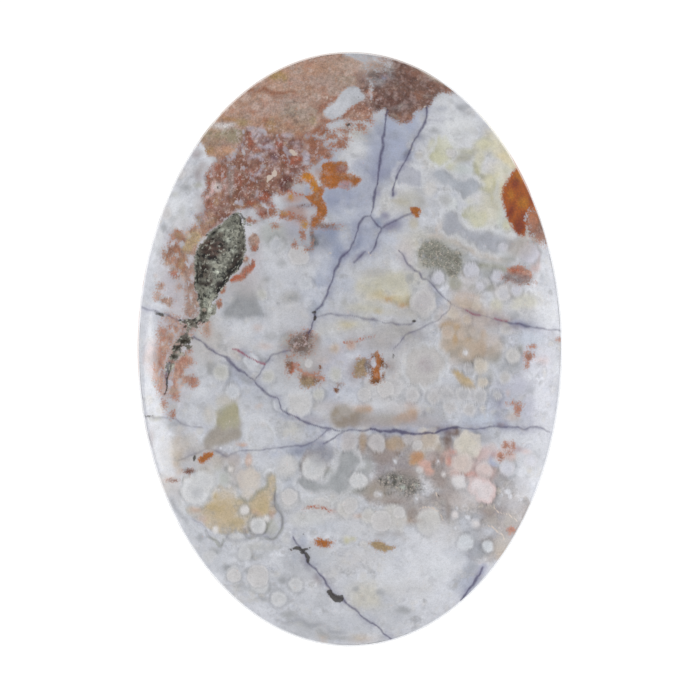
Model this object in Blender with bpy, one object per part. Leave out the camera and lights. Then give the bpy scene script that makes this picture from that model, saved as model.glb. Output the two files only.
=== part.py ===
"""Oval cabochon: one solid stone with a domed, polished face and a flat back.

Metres, +Z up. The stone lies on its back, which is at z = 0 and centred on the origin.
Its long axis runs along Y and its dome faces +Z.
"""

import math

import bmesh
import bpy

# Driving dimensions
WIDTH = 0.030
LENGTH = 0.042
THICKNESS = 0.0056
GIRDLE_HEIGHT = 0.0016
GIRDLE_LEAN = 0.00012
BACK_BEVEL = 0.0004

# The dome is the top of an ellipsoid. At its rim it takes in this share of the ellipsoid's
# half-width, which sets how steeply it meets the girdle.
DOME_SHARE = 0.96

# Facets of the solid
SIDES = 96
DOME_RINGS = 18

# Polished milky chalcedony
STONE_COLOUR = (0.60, 0.59, 0.61, 1.0)
STONE_ROUGHNESS = 0.12

HALF_WIDTH = WIDTH / 2
HALF_LENGTH = LENGTH / 2
RIM_HEIGHT = BACK_BEVEL + GIRDLE_HEIGHT
DOME_HEIGHT = THICKNESS - RIM_HEIGHT


def clear_scene():
    for thing in list(bpy.data.objects):
        bpy.data.objects.remove(thing)


def stone_material():
    material = bpy.data.materials.new("polished_stone")
    material.use_nodes = True
    shader = material.node_tree.nodes["Principled BSDF"]
    shader.inputs["Base Color"].default_value = STONE_COLOUR
    shader.inputs["Roughness"].default_value = STONE_ROUGHNESS
    shader.inputs["Metallic"].default_value = 0.0
    return material


def dome_rise(reach):
    """Height above the rim, where reach is 0 at the middle of the stone and 1 at the rim."""
    rim_level = math.sqrt(1 - DOME_SHARE**2)
    level = math.sqrt(1 - (DOME_SHARE * reach) ** 2)
    return DOME_HEIGHT * (level - rim_level) / (1 - rim_level)


def add_ring(mesh, half_width, half_length, height):
    """A closed oval loop of edges."""
    corners = []
    for step in range(SIDES):
        turn = 2 * math.pi * step / SIDES
        place = (half_width * math.cos(turn), half_length * math.sin(turn), height)
        corners.append(mesh.verts.new(place))
    return [mesh.edges.new((corners[i - 1], corners[i])) for i in range(SIDES)]


def stone_section():
    """The stone's ovals from the back up to the last one under the top of the dome."""
    inset = BACK_BEVEL + GIRDLE_LEAN
    rim_width = HALF_WIDTH - GIRDLE_LEAN
    rim_length = HALF_LENGTH - GIRDLE_LEAN
    ovals = [
        (HALF_WIDTH - inset, HALF_LENGTH - inset, 0.0),
        (HALF_WIDTH, HALF_LENGTH, BACK_BEVEL),
    ]
    for ring in range(DOME_RINGS):
        reach = math.cos(0.5 * math.pi * ring / DOME_RINGS)
        ovals.append((rim_width * reach, rim_length * reach, RIM_HEIGHT + dome_rise(reach)))
    return ovals


def close_top(mesh, ring):
    """Fills the last oval with triangles that meet at the top of the dome."""
    cap = bmesh.ops.edgeloop_fill(mesh, edges=ring)["faces"]
    middle = bmesh.ops.poke(mesh, faces=cap)["verts"][0]
    middle.co = (0.0, 0.0, THICKNESS)


def build_stone():
    mesh = bmesh.new()
    rings = [add_ring(mesh, *oval) for oval in stone_section()]
    for lower, upper in zip(rings, rings[1:]):
        bmesh.ops.bridge_loops(mesh, edges=lower + upper)
    bmesh.ops.edgeloop_fill(mesh, edges=rings[0])
    close_top(mesh, rings[-1])
    bmesh.ops.recalc_face_normals(mesh, faces=mesh.faces)
    data = bpy.data.meshes.new("cabochon")
    mesh.to_mesh(data)
    mesh.free()
    data.materials.append(stone_material())
    data.shade_smooth()
    data.set_sharp_from_angle(angle=math.radians(35))
    stone = bpy.data.objects.new("cabochon", data)
    bpy.context.scene.collection.objects.link(stone)
    return stone


clear_scene()
build_stone()
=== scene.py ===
import math

import bmesh
import bpy
import numpy as np
from mathutils import Matrix, Vector, noise


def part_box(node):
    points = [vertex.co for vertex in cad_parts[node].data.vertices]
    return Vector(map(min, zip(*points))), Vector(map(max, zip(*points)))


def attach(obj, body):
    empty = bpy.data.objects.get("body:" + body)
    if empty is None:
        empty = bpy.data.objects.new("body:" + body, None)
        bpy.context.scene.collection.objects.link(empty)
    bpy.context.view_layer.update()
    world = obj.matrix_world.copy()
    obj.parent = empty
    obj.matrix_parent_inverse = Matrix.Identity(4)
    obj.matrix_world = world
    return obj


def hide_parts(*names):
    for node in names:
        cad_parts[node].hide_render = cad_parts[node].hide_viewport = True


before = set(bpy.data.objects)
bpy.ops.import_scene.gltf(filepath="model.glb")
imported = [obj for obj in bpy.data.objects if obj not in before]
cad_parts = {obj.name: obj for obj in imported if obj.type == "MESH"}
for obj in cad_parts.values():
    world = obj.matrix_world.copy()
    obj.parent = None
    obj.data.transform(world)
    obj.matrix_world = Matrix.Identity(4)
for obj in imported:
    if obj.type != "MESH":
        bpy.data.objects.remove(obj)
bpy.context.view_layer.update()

# The stone's blank
# One piece of orb-spotted chalcedony, sawn into a slab, ground to an oval on a wheel and
# domed by hand. A thin upright girdle runs round it, and its flat back has a small bevel.

MM = 0.001
low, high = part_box("cabochon")
HALF_WIDTH = (high[0] - low[0]) / 2
HALF_LENGTH = (high[1] - low[1]) / 2
THICKNESS = high[2] - low[2]
BACK_BEVEL = 0.4 * MM
GIRDLE_HEIGHT = 1.6 * MM
GIRDLE_LEAN = 0.12 * MM
SKIRT = BACK_BEVEL + GIRDLE_HEIGHT

# The dome is the cap of an ellipsoid, which takes in this share of its half-width.
DOME_SHARE = 0.96
CUT_LEVEL = math.sqrt(1 - DOME_SHARE**2)
FULL_RISE = (THICKNESS - SKIRT) / (1 - CUT_LEVEL)

FACE_STEPS = 1000
BACK_STEPS = 320
GIRDLE_ROWS = 4


def deselect_all():
    bpy.ops.object.select_all(action="DESELECT")


def select_in_mesh(thing, kind, wanted):
    """Selects the vertices, edges or faces of a mesh in edit mode that wanted() picks."""
    bpy.ops.mesh.select_all(action="DESELECT")
    mesh = bmesh.from_edit_mesh(thing.data)
    parts = {"VERT": mesh.verts, "EDGE": mesh.edges, "FACE": mesh.faces}[kind]
    bpy.ops.mesh.select_mode(type=kind)
    for part in parts:
        part.select_set(bool(wanted(part)))
    mesh.select_flush_mode()
    bmesh.update_edit_mesh(thing.data)


def pull_rim_in(width, length, drop):
    """Extrudes the open rim, lowers it, and brings its reach to the given half-sizes."""
    mesh = bmesh.from_edit_mesh(stone.data)
    rim = [edge.verts[0].co for edge in mesh.edges if edge.is_boundary]
    reach_x = max(place.x for place in rim)
    reach_y = max(place.y for place in rim)
    middle = (0, 0, rim[0].z - drop)
    bpy.ops.mesh.extrude_edges_move(TRANSFORM_OT_translate={"value": (0, 0, -drop)})
    bpy.ops.transform.resize(value=(width / reach_x, length / reach_y, 1), center_override=middle)


# The top starts as a flat disc of even squares. Its middle is pulled up with a round
# falloff, which gives the cap of a sphere, and that is stretched to the oval.
deselect_all()
rim_width = HALF_WIDTH - GIRDLE_LEAN
rim_length = HALF_LENGTH - GIRDLE_LEAN
base_level = SKIRT - CUT_LEVEL * FULL_RISE
bpy.ops.mesh.primitive_circle_add(vertices=FACE_STEPS, radius=rim_width, location=(0, 0, base_level))
stone = bpy.context.object
stone.name = "stone"
bpy.ops.object.transform_apply(location=True)
bpy.ops.object.mode_set(mode="EDIT")
bpy.ops.mesh.select_all(action="SELECT")
bpy.ops.mesh.fill_grid(span=FACE_STEPS // 4)
select_in_mesh(stone, "VERT", lambda vert: vert.co.xy.length < 0.001 * MM)
bpy.ops.transform.translate(
    value=(0, 0, FULL_RISE),
    use_proportional_edit=True,
    proportional_edit_falloff="SPHERE",
    proportional_size=rim_width / DOME_SHARE,
)
bpy.ops.mesh.select_all(action="SELECT")
bpy.ops.transform.resize(value=(1, rim_length / rim_width, 1), center_override=(0, 0, 0))

# The girdle and the bevel are drawn down from the rim in rows.
select_in_mesh(stone, "EDGE", lambda edge: edge.is_boundary)
for row in range(1, GIRDLE_ROWS + 1):
    lean = GIRDLE_LEAN * (1 - row / GIRDLE_ROWS)
    pull_rim_in(HALF_WIDTH - lean, HALF_LENGTH - lean, GIRDLE_HEIGHT / GIRDLE_ROWS)
for inset in (BACK_BEVEL / 2, BACK_BEVEL):
    pull_rim_in(HALF_WIDTH - inset, HALF_LENGTH - inset, BACK_BEVEL / 2)
bpy.ops.object.mode_set(mode="OBJECT")

# The back is a flat disc of wider squares, bridged to the bevel.
back_width = HALF_WIDTH - BACK_BEVEL - 0.12 * MM
back_length = HALF_LENGTH - BACK_BEVEL - 0.12 * MM
deselect_all()
bpy.ops.mesh.primitive_circle_add(vertices=BACK_STEPS, radius=back_width)
back = bpy.context.object
bpy.ops.object.mode_set(mode="EDIT")
bpy.ops.mesh.select_all(action="SELECT")
bpy.ops.mesh.fill_grid(span=BACK_STEPS // 4)
bpy.ops.mesh.select_all(action="SELECT")
bpy.ops.transform.resize(value=(1, back_length / back_width, 1), center_override=(0, 0, 0))
bpy.ops.object.mode_set(mode="OBJECT")
back.select_set(True)
stone.select_set(True)
bpy.context.view_layer.objects.active = stone
bpy.ops.object.join()
bpy.ops.object.mode_set(mode="EDIT")
select_in_mesh(stone, "EDGE", lambda edge: edge.is_boundary)
bpy.ops.mesh.bridge_edge_loops()
bpy.ops.mesh.select_all(action="SELECT")
bpy.ops.mesh.normals_make_consistent(inside=False)

# The rim where the dome meets the girdle is eased as a polisher eases it.
select_in_mesh(
    stone,
    "EDGE",
    lambda edge: all(abs(vert.co.z - SKIRT) < 0.001 * MM for vert in edge.verts),
)
bpy.ops.mesh.bevel(offset=0.05 * MM, segments=1, affect="EDGES")
bpy.ops.object.mode_set(mode="OBJECT")


# How the markings are placed
# Every marking is drawn on the stone's face, in millimetres from its middle: an
# oval spot, a patch with an outline, or a streak along a line. Each function gives how far
# a place on the stone lies inside the marking, in millimetres, and less than 0 outside it.

FAR = -3.0
CURVE_STEPS = 5


def smooth_line(points, closed=False):
    """Points close together on a smooth curve through the given ones."""
    points = np.array(points, float)
    if closed:
        before, start, end, after = [np.roll(points, shift, axis=0) for shift in (1, 0, -1, -2)]
    else:
        padded = np.vstack([2 * points[0] - points[1], points, 2 * points[-1] - points[-2]])
        before, start, end, after = padded[:-3], padded[1:-2], padded[2:-1], padded[3:]
    curve = []
    for step in range(CURVE_STEPS):
        t = step / CURVE_STEPS
        curve.append(
            0.5
            * (
                2 * start
                + (end - before) * t
                + (2 * before - 5 * start + 4 * end - after) * t**2
                + (3 * start - before - 3 * end + after) * t**3
            )
        )
    curve = np.stack(curve, axis=1).reshape(-1, 2)
    return np.vstack([curve, points[:1] if closed else points[-1:]])


def near(places, lowest, highest):
    """Which places lie in a box, given by its corners, or close round it."""
    inside = (places > np.array(lowest) + FAR) & (places < np.array(highest) - FAR)
    return np.nonzero(inside.all(axis=1))[0]


def oval(places, x, y, wide, tall, turn=0):
    """Inside an oval of half-sizes wide and tall, turned by degrees."""
    angle = math.radians(turn)
    across = (places - (x, y)) @ np.array([math.cos(angle), math.sin(angle)])
    along = (places - (x, y)) @ np.array([-math.sin(angle), math.cos(angle)])
    share = np.hypot(across / wide, along / tall)
    return (1 - share) * min(wide, tall)


def line_distance(places, line):
    """How far each place is from a line, which side it is on, and its share of the way."""
    nearest = np.full(len(places), 1e9)
    side = np.zeros(len(places))
    way = np.zeros(len(places))
    for number, (start, end) in enumerate(zip(line, line[1:])):
        step = end - start
        length = max(step @ step, 1e-12)
        share = np.clip(((places - start) @ step) / length, 0, 1)
        gap = places - start - share[:, None] * step
        distance = np.hypot(gap[:, 0], gap[:, 1])
        closer = distance < nearest
        nearest[closer] = distance[closer]
        side[closer] = (step[0] * gap[:, 1] - step[1] * gap[:, 0])[closer]
        way[closer] = ((number + share) / (len(line) - 1))[closer]
    return nearest, np.sign(side), way


def patch(places, points):
    """Inside a closed outline."""
    reach = np.full(len(places), FAR)
    line = smooth_line(points, closed=True)
    chosen = near(places, line.min(axis=0), line.max(axis=0))
    x, y = places[chosen].T
    crossings = np.zeros(len(chosen), int)
    for start, end in zip(line, line[1:]):
        spans = (start[1] > y) != (end[1] > y)
        rise = end[1] - start[1] if end[1] != start[1] else 1e-12
        crossings += spans & (x < start[0] + (y - start[1]) * (end[0] - start[0]) / rise)
    distance = line_distance(places[chosen], line)[0]
    reach[chosen] = np.where(crossings % 2 == 1, distance, -distance)
    return reach


def streak(places, half_width, points):
    """Within half_width of a line, which thins towards both ends."""
    reach = np.full(len(places), FAR)
    line = smooth_line(points)
    chosen = near(places, line.min(axis=0), line.max(axis=0))
    distance, _, way = line_distance(places[chosen], line)
    taper = 0.35 + 0.65 * np.sqrt(np.sin(np.pi * np.clip(way, 0.02, 0.98)))
    reach[chosen] = half_width * taper - distance
    return reach


def union(reaches):
    return np.maximum.reduce(list(reaches))


def ovals(places, spots):
    return union(oval(places, *spot) for spot in spots)


def patches(places, outlines):
    return union(patch(places, outline) for outline in outlines)


def streaks(places, half_width, lines):
    return union(streak(places, half_width, line) for line in lines)


def smooth_step(low_end, high_end, values):
    share = np.clip((values - low_end) / (high_end - low_end), 0, 1)
    return share * share * (3 - 2 * share)


def mottle(places, size, seed, octaves=3):
    """Cloudy noise with clumps of size millimetres. Its mean is 0 and its spread is 1."""
    source = np.random.default_rng(seed)
    total = np.zeros(len(places))
    for octave in range(octaves):
        turn = 0.7 + 1.9 * octave
        cell = size / 2**octave
        u = (places[:, 0] * math.cos(turn) - places[:, 1] * math.sin(turn)) / cell
        v = (places[:, 0] * math.sin(turn) + places[:, 1] * math.cos(turn)) / cell
        u -= u.min()
        v -= v.min()
        column, row = u.astype(int), v.astype(int)
        grid = source.standard_normal((row.max() + 2, column.max() + 2))
        across, along = smooth_step(0, 1, u - column), smooth_step(0, 1, v - row)
        lower = grid[row, column] * (1 - across) + grid[row, column + 1] * across
        upper = grid[row + 1, column] * (1 - across) + grid[row + 1, column + 1] * across
        total += (lower * (1 - along) + upper * along) * 0.7**octave
    return (total - total.mean()) / total.std()


# The veins
# Hairline cracks healed with dark purple-grey manganese, and a few with pink iron. Each
# one is a line of its own with its own strength of ink.

VEIN_REACH = 0.24
VEINS = [
    (1.0, [
        (2.6, 16.8), (2.5, 16.2), (2.45, 15.6), (2.35, 14.8), (2.25, 13.9), (2.1, 13.1), (2.0, 12.4),
        (1.9, 11.6), (1.75, 10.9), (1.65, 10.3), (1.55, 9.8), (1.42, 9.45),
    ]),
    (1.0, [
        (1.42, 9.45), (1.0, 9.3), (0.75, 8.95), (0.5, 8.4), (0.35, 7.9), (0.2, 7.4), (0.0, 7.0),
        (-0.3, 6.7), (-0.65, 6.4), (-0.85, 5.9), (-1.1, 5.3), (-1.35, 4.6), (-1.6, 4.0), (-1.8, 3.5),
        (-2.0, 3.15), (-2.35, 2.85), (-2.5, 2.6), (-2.45, 2.2), (-2.65, 1.8), (-2.75, 1.4),
        (-2.95, 1.1),
    ]),
    (0.9, [
        (1.42, 9.45), (1.65, 9.1), (1.95, 8.75), (2.15, 8.5), (2.05, 8.1), (1.9, 7.6), (1.7, 7.1),
        (1.45, 6.75),
    ]),
    (0.8, [(2.15, 8.5), (2.6, 8.8), (3.1, 9.0), (3.6, 9.3), (4.1, 9.45), (4.4, 9.6)]),
    (0.8, [(1.1, 6.9), (0.75, 6.55), (0.3, 6.1)]),
    (1.0, [
        (5.45, 17.0), (5.45, 16.5), (5.35, 16.1), (5.1, 15.7), (4.85, 15.2), (4.6, 14.8), (4.35, 14.3),
        (4.15, 13.8), (3.95, 13.3), (3.65, 12.8), (3.35, 12.3), (3.15, 11.8), (3.05, 11.3),
        (3.05, 10.9),
    ]),
    (0.35, [(5.4, 16.15), (5.9, 16.15), (6.5, 16.1), (7.0, 16.25), (7.3, 16.2)]),
    (0.75, [
        (-2.4, 2.25), (-2.0, 2.4), (-1.5, 2.5), (-1.1, 2.45), (-0.8, 2.35), (-0.2, 2.4), (0.4, 2.35),
        (1.0, 2.2), (1.6, 2.1), (2.1, 2.0), (2.4, 1.85), (3.0, 1.85), (3.7, 1.75), (4.3, 1.75),
        (4.6, 2.0),
    ]),
    (0.8, [
        (3.4, 7.0), (3.7, 6.6), (4.0, 6.1), (4.5, 5.6), (4.85, 5.4), (5.1, 4.95), (5.5, 4.85),
        (6.0, 4.3), (6.4, 3.9), (6.8, 3.5), (7.2, 3.15),
    ]),
    (0.6, [
        (7.2, 3.15), (7.8, 2.9), (8.3, 2.65), (8.8, 2.45), (9.3, 2.4), (9.7, 2.35), (10.1, 2.15),
        (10.6, 2.05), (11.1, 1.9),
    ]),
    (0.9, [
        (10.9, 1.95), (11.6, 1.8), (12.2, 1.7), (12.8, 1.6), (13.5, 1.45), (14.3, 1.35), (14.95, 1.3),
    ]),
    (0.75, [
        (7.2, 3.15), (6.9, 2.7), (6.5, 2.35), (6.2, 2.05), (5.9, 1.95), (5.5, 1.75), (5.0, 1.45),
        (4.6, 1.3), (4.2, 1.1), (3.9, 0.95), (3.7, 0.7), (3.5, 0.45), (3.3, 0.2), (3.1, 0.0),
    ]),
    (0.7, [
        (-14.7, 3.0), (-14.2, 2.75), (-13.7, 2.7), (-13.1, 2.5), (-12.7, 2.35), (-12.2, 2.15),
        (-11.7, 2.0),
    ]),
    (0.95, [
        (-11.0, 0.9), (-10.5, 0.55), (-10.1, 0.2), (-9.6, -0.15), (-9.1, -0.4), (-8.6, -0.7),
        (-8.2, -1.1), (-7.9, -1.4), (-7.4, -1.7), (-7.0, -2.0), (-6.75, -2.25), (-6.45, -2.6),
        (-6.1, -2.95), (-5.6, -3.25), (-5.1, -3.5), (-4.95, -3.95), (-4.85, -4.25), (-4.4, -4.5),
        (-3.9, -4.75), (-3.4, -5.0), (-2.9, -5.25), (-2.3, -5.45), (-1.8, -5.6), (-1.3, -5.6),
        (-0.8, -5.75), (-0.3, -5.75), (0.2, -5.7), (0.8, -5.75), (1.4, -5.65),
    ]),
    (1.3, [
        (1.4, -5.65), (2.0, -5.7), (2.6, -5.8), (3.2, -5.75), (3.8, -5.85), (4.4, -5.95), (5.0, -5.95),
        (5.6, -5.85), (6.0, -5.9), (6.4, -5.7), (7.0, -5.55), (7.6, -5.5),
    ]),
    (0.85, [
        (7.6, -5.5), (8.4, -5.6), (8.9, -5.65), (9.5, -5.55), (10.1, -5.45), (10.7, -5.5),
        (11.3, -5.45), (11.8, -5.5), (12.3, -5.65), (12.8, -5.5), (13.3, -5.5), (13.8, -5.7),
        (14.1, -5.8),
    ]),
    (0.8, [
        (-6.75, -2.25), (-6.5, -1.95), (-6.2, -1.55), (-6.05, -1.2), (-6.05, -1.05), (-5.7, -0.7),
        (-5.4, -0.4), (-5.0, -0.3), (-4.6, -0.15), (-4.2, -0.05),
    ]),
    (0.8, [
        (-1.4, -5.65), (-1.9, -5.95), (-2.3, -6.25), (-2.7, -6.55), (-3.2, -6.75), (-3.8, -6.8),
        (-4.5, -6.85), (-5.2, -6.95), (-5.8, -7.05), (-6.5, -7.1), (-7.2, -7.1), (-7.8, -7.2),
    ]),
    (0.55, [
        (-7.8, -7.2), (-8.4, -7.35), (-8.7, -7.55), (-9.2, -7.25), (-9.8, -7.0), (-10.4, -7.1),
        (-10.9, -7.4), (-11.3, -7.5), (-11.7, -7.75), (-12.1, -7.8),
    ]),
    (1.0, [(-0.4, -5.8), (-0.9, -6.1), (-1.4, -6.4), (-1.9, -6.65)]),
    (0.8, [
        (-12.7, -0.9), (-12.85, -1.3), (-12.95, -1.8), (-12.95, -2.3), (-13.0, -2.8), (-13.05, -3.2),
        (-13.3, -3.5),
    ]),
    (0.6, [
        (-14.4, -4.7), (-13.9, -4.8), (-13.2, -4.8), (-12.6, -4.85), (-12.2, -5.0), (-11.9, -5.25),
        (-11.4, -5.4), (-10.9, -5.5), (-10.4, -5.55),
    ]),
    (0.9, [
        (-4.0, -13.2), (-3.85, -13.5), (-3.65, -13.85), (-3.4, -14.1), (-3.15, -14.6), (-2.95, -15.1),
        (-2.5, -15.4), (-2.2, -15.9), (-1.9, -16.2), (-1.65, -16.5), (-1.4, -16.9), (-1.1, -17.3),
        (-0.6, -17.6), (-0.2, -17.95), (0.3, -18.3), (0.7, -18.7), (1.0, -19.0), (1.5, -19.25),
        (1.9, -19.55), (2.3, -19.9), (2.7, -20.3), (2.95, -20.5),
    ]),
    (1.1, [
        (9.35, -15.4), (9.15, -15.8), (8.9, -16.3), (8.6, -16.7), (8.3, -17.1), (8.0, -17.5),
        (7.8, -17.75),
    ]),
    (0.45, [
        (-11.1, -12.0), (-10.3, -12.5), (-10.0, -13.0), (-9.7, -13.4), (-9.3, -13.55), (-9.0, -13.85),
        (-8.8, -13.4), (-8.6, -13.0),
    ]),
    (0.5, [
        (-7.4, -12.6), (-7.2, -13.1), (-6.5, -13.2), (-5.9, -13.2), (-5.5, -13.4), (-5.1, -13.1),
        (-4.9, -12.6), (-4.75, -12.1), (-4.9, -11.6), (-5.2, -11.2), (-5.3, -10.8), (-5.25, -10.0),
    ]),
    (0.4, [(-1.9, -2.3), (-1.5, -2.5), (-1.1, -2.75)]),
]
PINK_VEINS = [
    (1.1, [
        (-8.3, 0.0), (-7.9, -0.05), (-7.5, -0.3), (-7.1, -0.6), (-6.7, -0.75), (-6.4, -0.95),
        (-6.05, -1.05),
    ]),
    (0.9, [(8.2, 2.75), (8.6, 2.5), (9.1, 2.4)]), (0.8, [(10.2, 2.2), (10.6, 2.1), (11.0, 2.0)]),
]


# The crystal pits
# Small hollows that never filled, lined with grey-green quartz crystals. The wheel cut
# them open, so they lie lower than the polished face and stay rough.

MAIN_PIT = [
    (-7.95, 9.65), (-7.65, 9.2), (-7.45, 8.6), (-7.35, 7.7), (-7.4, 6.9), (-7.5, 6.2),
    (-7.85, 5.65), (-8.3, 5.2), (-8.7, 4.7), (-9.1, 4.15), (-9.5, 3.6), (-9.75, 3.1),
    (-9.85, 2.5), (-10.2, 2.1), (-10.5, 1.9), (-10.65, 2.4), (-10.7, 3.3), (-10.9, 4.2),
    (-11.0, 5.1), (-10.95, 5.9), (-10.95, 6.7), (-10.6, 7.3), (-10.2, 7.8), (-9.9, 8.3),
    (-9.4, 8.65), (-8.7, 9.15),
]
TAIL_PIT = [
    (-12.7, -0.9), (-12.7, -0.3), (-12.3, 0.2), (-12.0, 0.8), (-11.4, 1.05), (-11.1, 0.7),
    (-11.4, 0.1), (-11.8, -0.1), (-12.2, -0.5), (-12.4, -0.95),
]
RUST_PIT = [
    (1.6, -0.4), (1.95, -0.15), (2.1, -0.5), (2.4, -0.8), (2.25, -1.2), (2.1, -1.6),
    (2.1, -2.3), (1.7, -2.4), (1.4, -2.2), (1.6, -1.9), (1.55, -1.4), (1.85, -1.1), (1.8, -0.7),
]
PLUME_PIT = [
    (-1.7, -17.1), (-1.35, -16.95), (-0.9, -17.3), (-0.5, -17.4), (-0.55, -17.8),
    (-1.0, -17.8), (-1.4, -17.4),
]
PITS = [(MAIN_PIT, 0.55), (TAIL_PIT, 0.25), (RUST_PIT, 0.12), (PLUME_PIT, 0.15)]


def pit_depth(places):
    """How deep each place lies in a pit, in millimetres, before the crystals are added."""
    depth = np.zeros(len(places))
    for outline, deepest in PITS:
        wall = smooth_step(0.0, 0.45, patch(places, outline))
        depth = np.maximum(depth, deepest * wall)
    return depth


def lay_out(mesh):
    """Every vertex of a mesh in millimetres."""
    flat = np.empty(len(mesh.vertices) * 3)
    mesh.vertices.foreach_get("co", flat)
    return flat.reshape(-1, 3) / MM


def close_to_vein(places):
    """Whether each place lies within reach of a vein's line."""
    close = np.zeros(len(places), bool)
    for _, points in VEINS + PINK_VEINS:
        line = smooth_line(points)
        chosen = near(places, line.min(axis=0), line.max(axis=0))
        close[chosen] |= line_distance(places[chosen], line)[0] < VEIN_REACH
    return close


# The squares that hold a pit or a vein are cut finer, so that crystals and lines come out sharp.
deselect_all()
stone.select_set(True)
bpy.context.view_layer.objects.active = stone
spots = lay_out(stone.data)
holds_pit = pit_depth(spots[:, :2]) > 0
fine_work = (holds_pit | close_to_vein(spots[:, :2])) & (spots[:, 2] > SKIRT / MM)
bpy.ops.object.mode_set(mode="EDIT")
select_in_mesh(stone, "FACE", lambda face: any(fine_work[vert.index] for vert in face.verts))
bpy.ops.mesh.subdivide(number_cuts=1)
bpy.ops.object.mode_set(mode="OBJECT")
stone.data.shade_smooth()

spots = lay_out(stone.data)
on_face = spots[:, 2] > SKIRT / MM - 0.05

# Below the rim the markings run on through the stone, at a slant and slowly changing.
below = np.clip(SKIRT / MM - spots[:, 2], 0, None)
drift = np.array([noise.noise_vector(Vector(spot) * 0.12) for spot in spots])
ripple = np.array([noise.noise_vector(Vector(spot) * 1.6) for spot in spots])
tremble = np.array([noise.noise_vector(Vector(spot) * 4.5 + Vector((7, 3, 1))) for spot in spots])
places = spots[:, :2].copy()
places[:, 0] += below * (0.55 + 0.9 * drift[:, 0])
places[:, 1] -= below * (0.4 + 0.9 * drift[:, 1])
places += 0.09 * ripple[:, :2] + 0.035 * tremble[:, :2]


# The milky ground
# The stone's body is milky chalcedony, clouded blue, cream, white and grey. The clouds
# have no edges, so they are tints that fade into each other.

MILK = (196, 198, 205)
ICE = (170, 176, 193)
SLATE = (134, 143, 168)
LAVENDER = (128, 130, 154)
LILAC = (188, 187, 201)
SNOW = (216, 218, 225)
PEARL = (201, 199, 200)
CREAM = (199, 196, 186)
STRAW = (205, 201, 180)
HONEY = (211, 199, 172)
OCHRE = (184, 162, 130)
TAN = (186, 168, 148)
BUFF = (201, 190, 178)
MIST = (180, 182, 187)
SMOKE = (158, 160, 165)
SAGE = (170, 170, 158)
TAUPE = (162, 155, 154)
MAUVE = (150, 143, 150)
ROSE = (204, 176, 170)
PEACH = (198, 166, 144)
PORCELAIN = (211, 209, 211)
ASH = (176, 174, 177)
OATMEAL = (192, 176, 161)
LICHEN = (170, 165, 140)
DUSK = (158, 164, 186)
CARAMEL = (186, 146, 116)
DOVE = (190, 188, 190)
PETAL = (214, 190, 185)
FROST = (225, 222, 221)
CHARCOAL = (82, 80, 80)
MUD = (138, 126, 114)
THISTLE = (146, 146, 166)
FOG = (177, 168, 167)
LINEN = (189, 181, 174)
HAY = (190, 186, 146)
STEEL = (118, 120, 132)
GRAVEL = (150, 138, 132)
COPPER = (176, 128, 96)
CORAL = (206, 168, 158)
DENIM = (140, 150, 178)
PEWTER = (150, 152, 156)
PERIWINKLE = (162, 172, 204)
BISQUE = (186, 150, 134)
CELERY = (186, 186, 158)
TOFFEE = (188, 148, 100)
GLACIER = (196, 203, 215)
SALMON = (198, 150, 134)
BISCUIT = (200, 166, 132)
MELON = (205, 150, 120)
FLAMINGO = (208, 154, 144)
WHITE = (228, 230, 236)


# The room sends this share of full light onto the stone, and the polish adds a little of its
# own, so a stone that looks like a given colour in the room has another one in itself.
ROOM_LIGHT = 0.89
SHEEN = 0.03


def linear(colour):
    """The stone's own linear colour, where it looks like the given one of 0 to 255."""
    part = np.array(colour) / 255
    seen = np.where(part <= 0.04045, part / 12.92, ((part + 0.055) / 1.055) ** 2.4)
    return np.clip((seen - SHEEN) / ROOM_LIGHT, 0.004, 1)


ground = np.tile(linear(MILK), (len(places), 1))

# Where a grain or zone is drawn, the scattered small orbs keep out of it.
calm = np.zeros(len(places))


def tint(layer, colour, soft, reach, strength):
    """Tints a layer inside a marking, fading over soft millimetres at its edge."""
    cover = (strength * smooth_step(-soft, soft, reach))[:, None]
    layer[:] = layer * (1 - cover) + linear(colour) * cover


def cloud(colour, soft, reach, strength=1.0):
    """Tints the ground inside a marking."""
    tint(ground, colour, soft, reach, strength)


def dab(colour, soft, strength, spots):
    """Tints the ground inside ovals."""
    reach = ovals(places, spots)
    tint(ground, colour, soft, reach, strength)
    calm[:] = np.maximum(calm, 0.7 * smooth_step(-0.15, 0.1, reach))


uneven_rim = 0.07 * mottle(places, 0.7, 61) + 0.035 * mottle(places, 0.3, 62)
faint_rim = np.clip(0.6 + 0.7 * mottle(places, 1.1, 63), 0.1, 1)


def ringed(core, rim, spots):
    """Round grains of the ground: each has a pale rim, a core of another tint and a soft shadow."""
    disc = union(oval(places, x, y, size, size) + uneven_rim * min(1, size) for x, y, size in spots)
    inner = union(
        oval(places, x, y, 0.7 * size, 0.7 * size) + uneven_rim * min(1, size) for x, y, size in spots
    )
    shadow = faint_rim * np.exp(-((disc + 0.12) ** 2) / 0.016)
    ground[:] = ground * (1 - 0.24 * shadow)[:, None]
    tint(ground, rim, 0.13, disc, 0.6 + 0.4 * faint_rim)
    tint(ground, core, 0.12, inner, 0.9)
    calm[:] = np.maximum(calm, smooth_step(-0.2, 0, disc))


def clumps(size, seed, level):
    """Scattered clumps about size millimetres wide; fewer and smaller as level rises."""
    return (mottle(places, size, seed) - level) * size * 0.3


def both(*reaches):
    """Inside all of the given markings."""
    return np.minimum.reduce(list(reaches))


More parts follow.
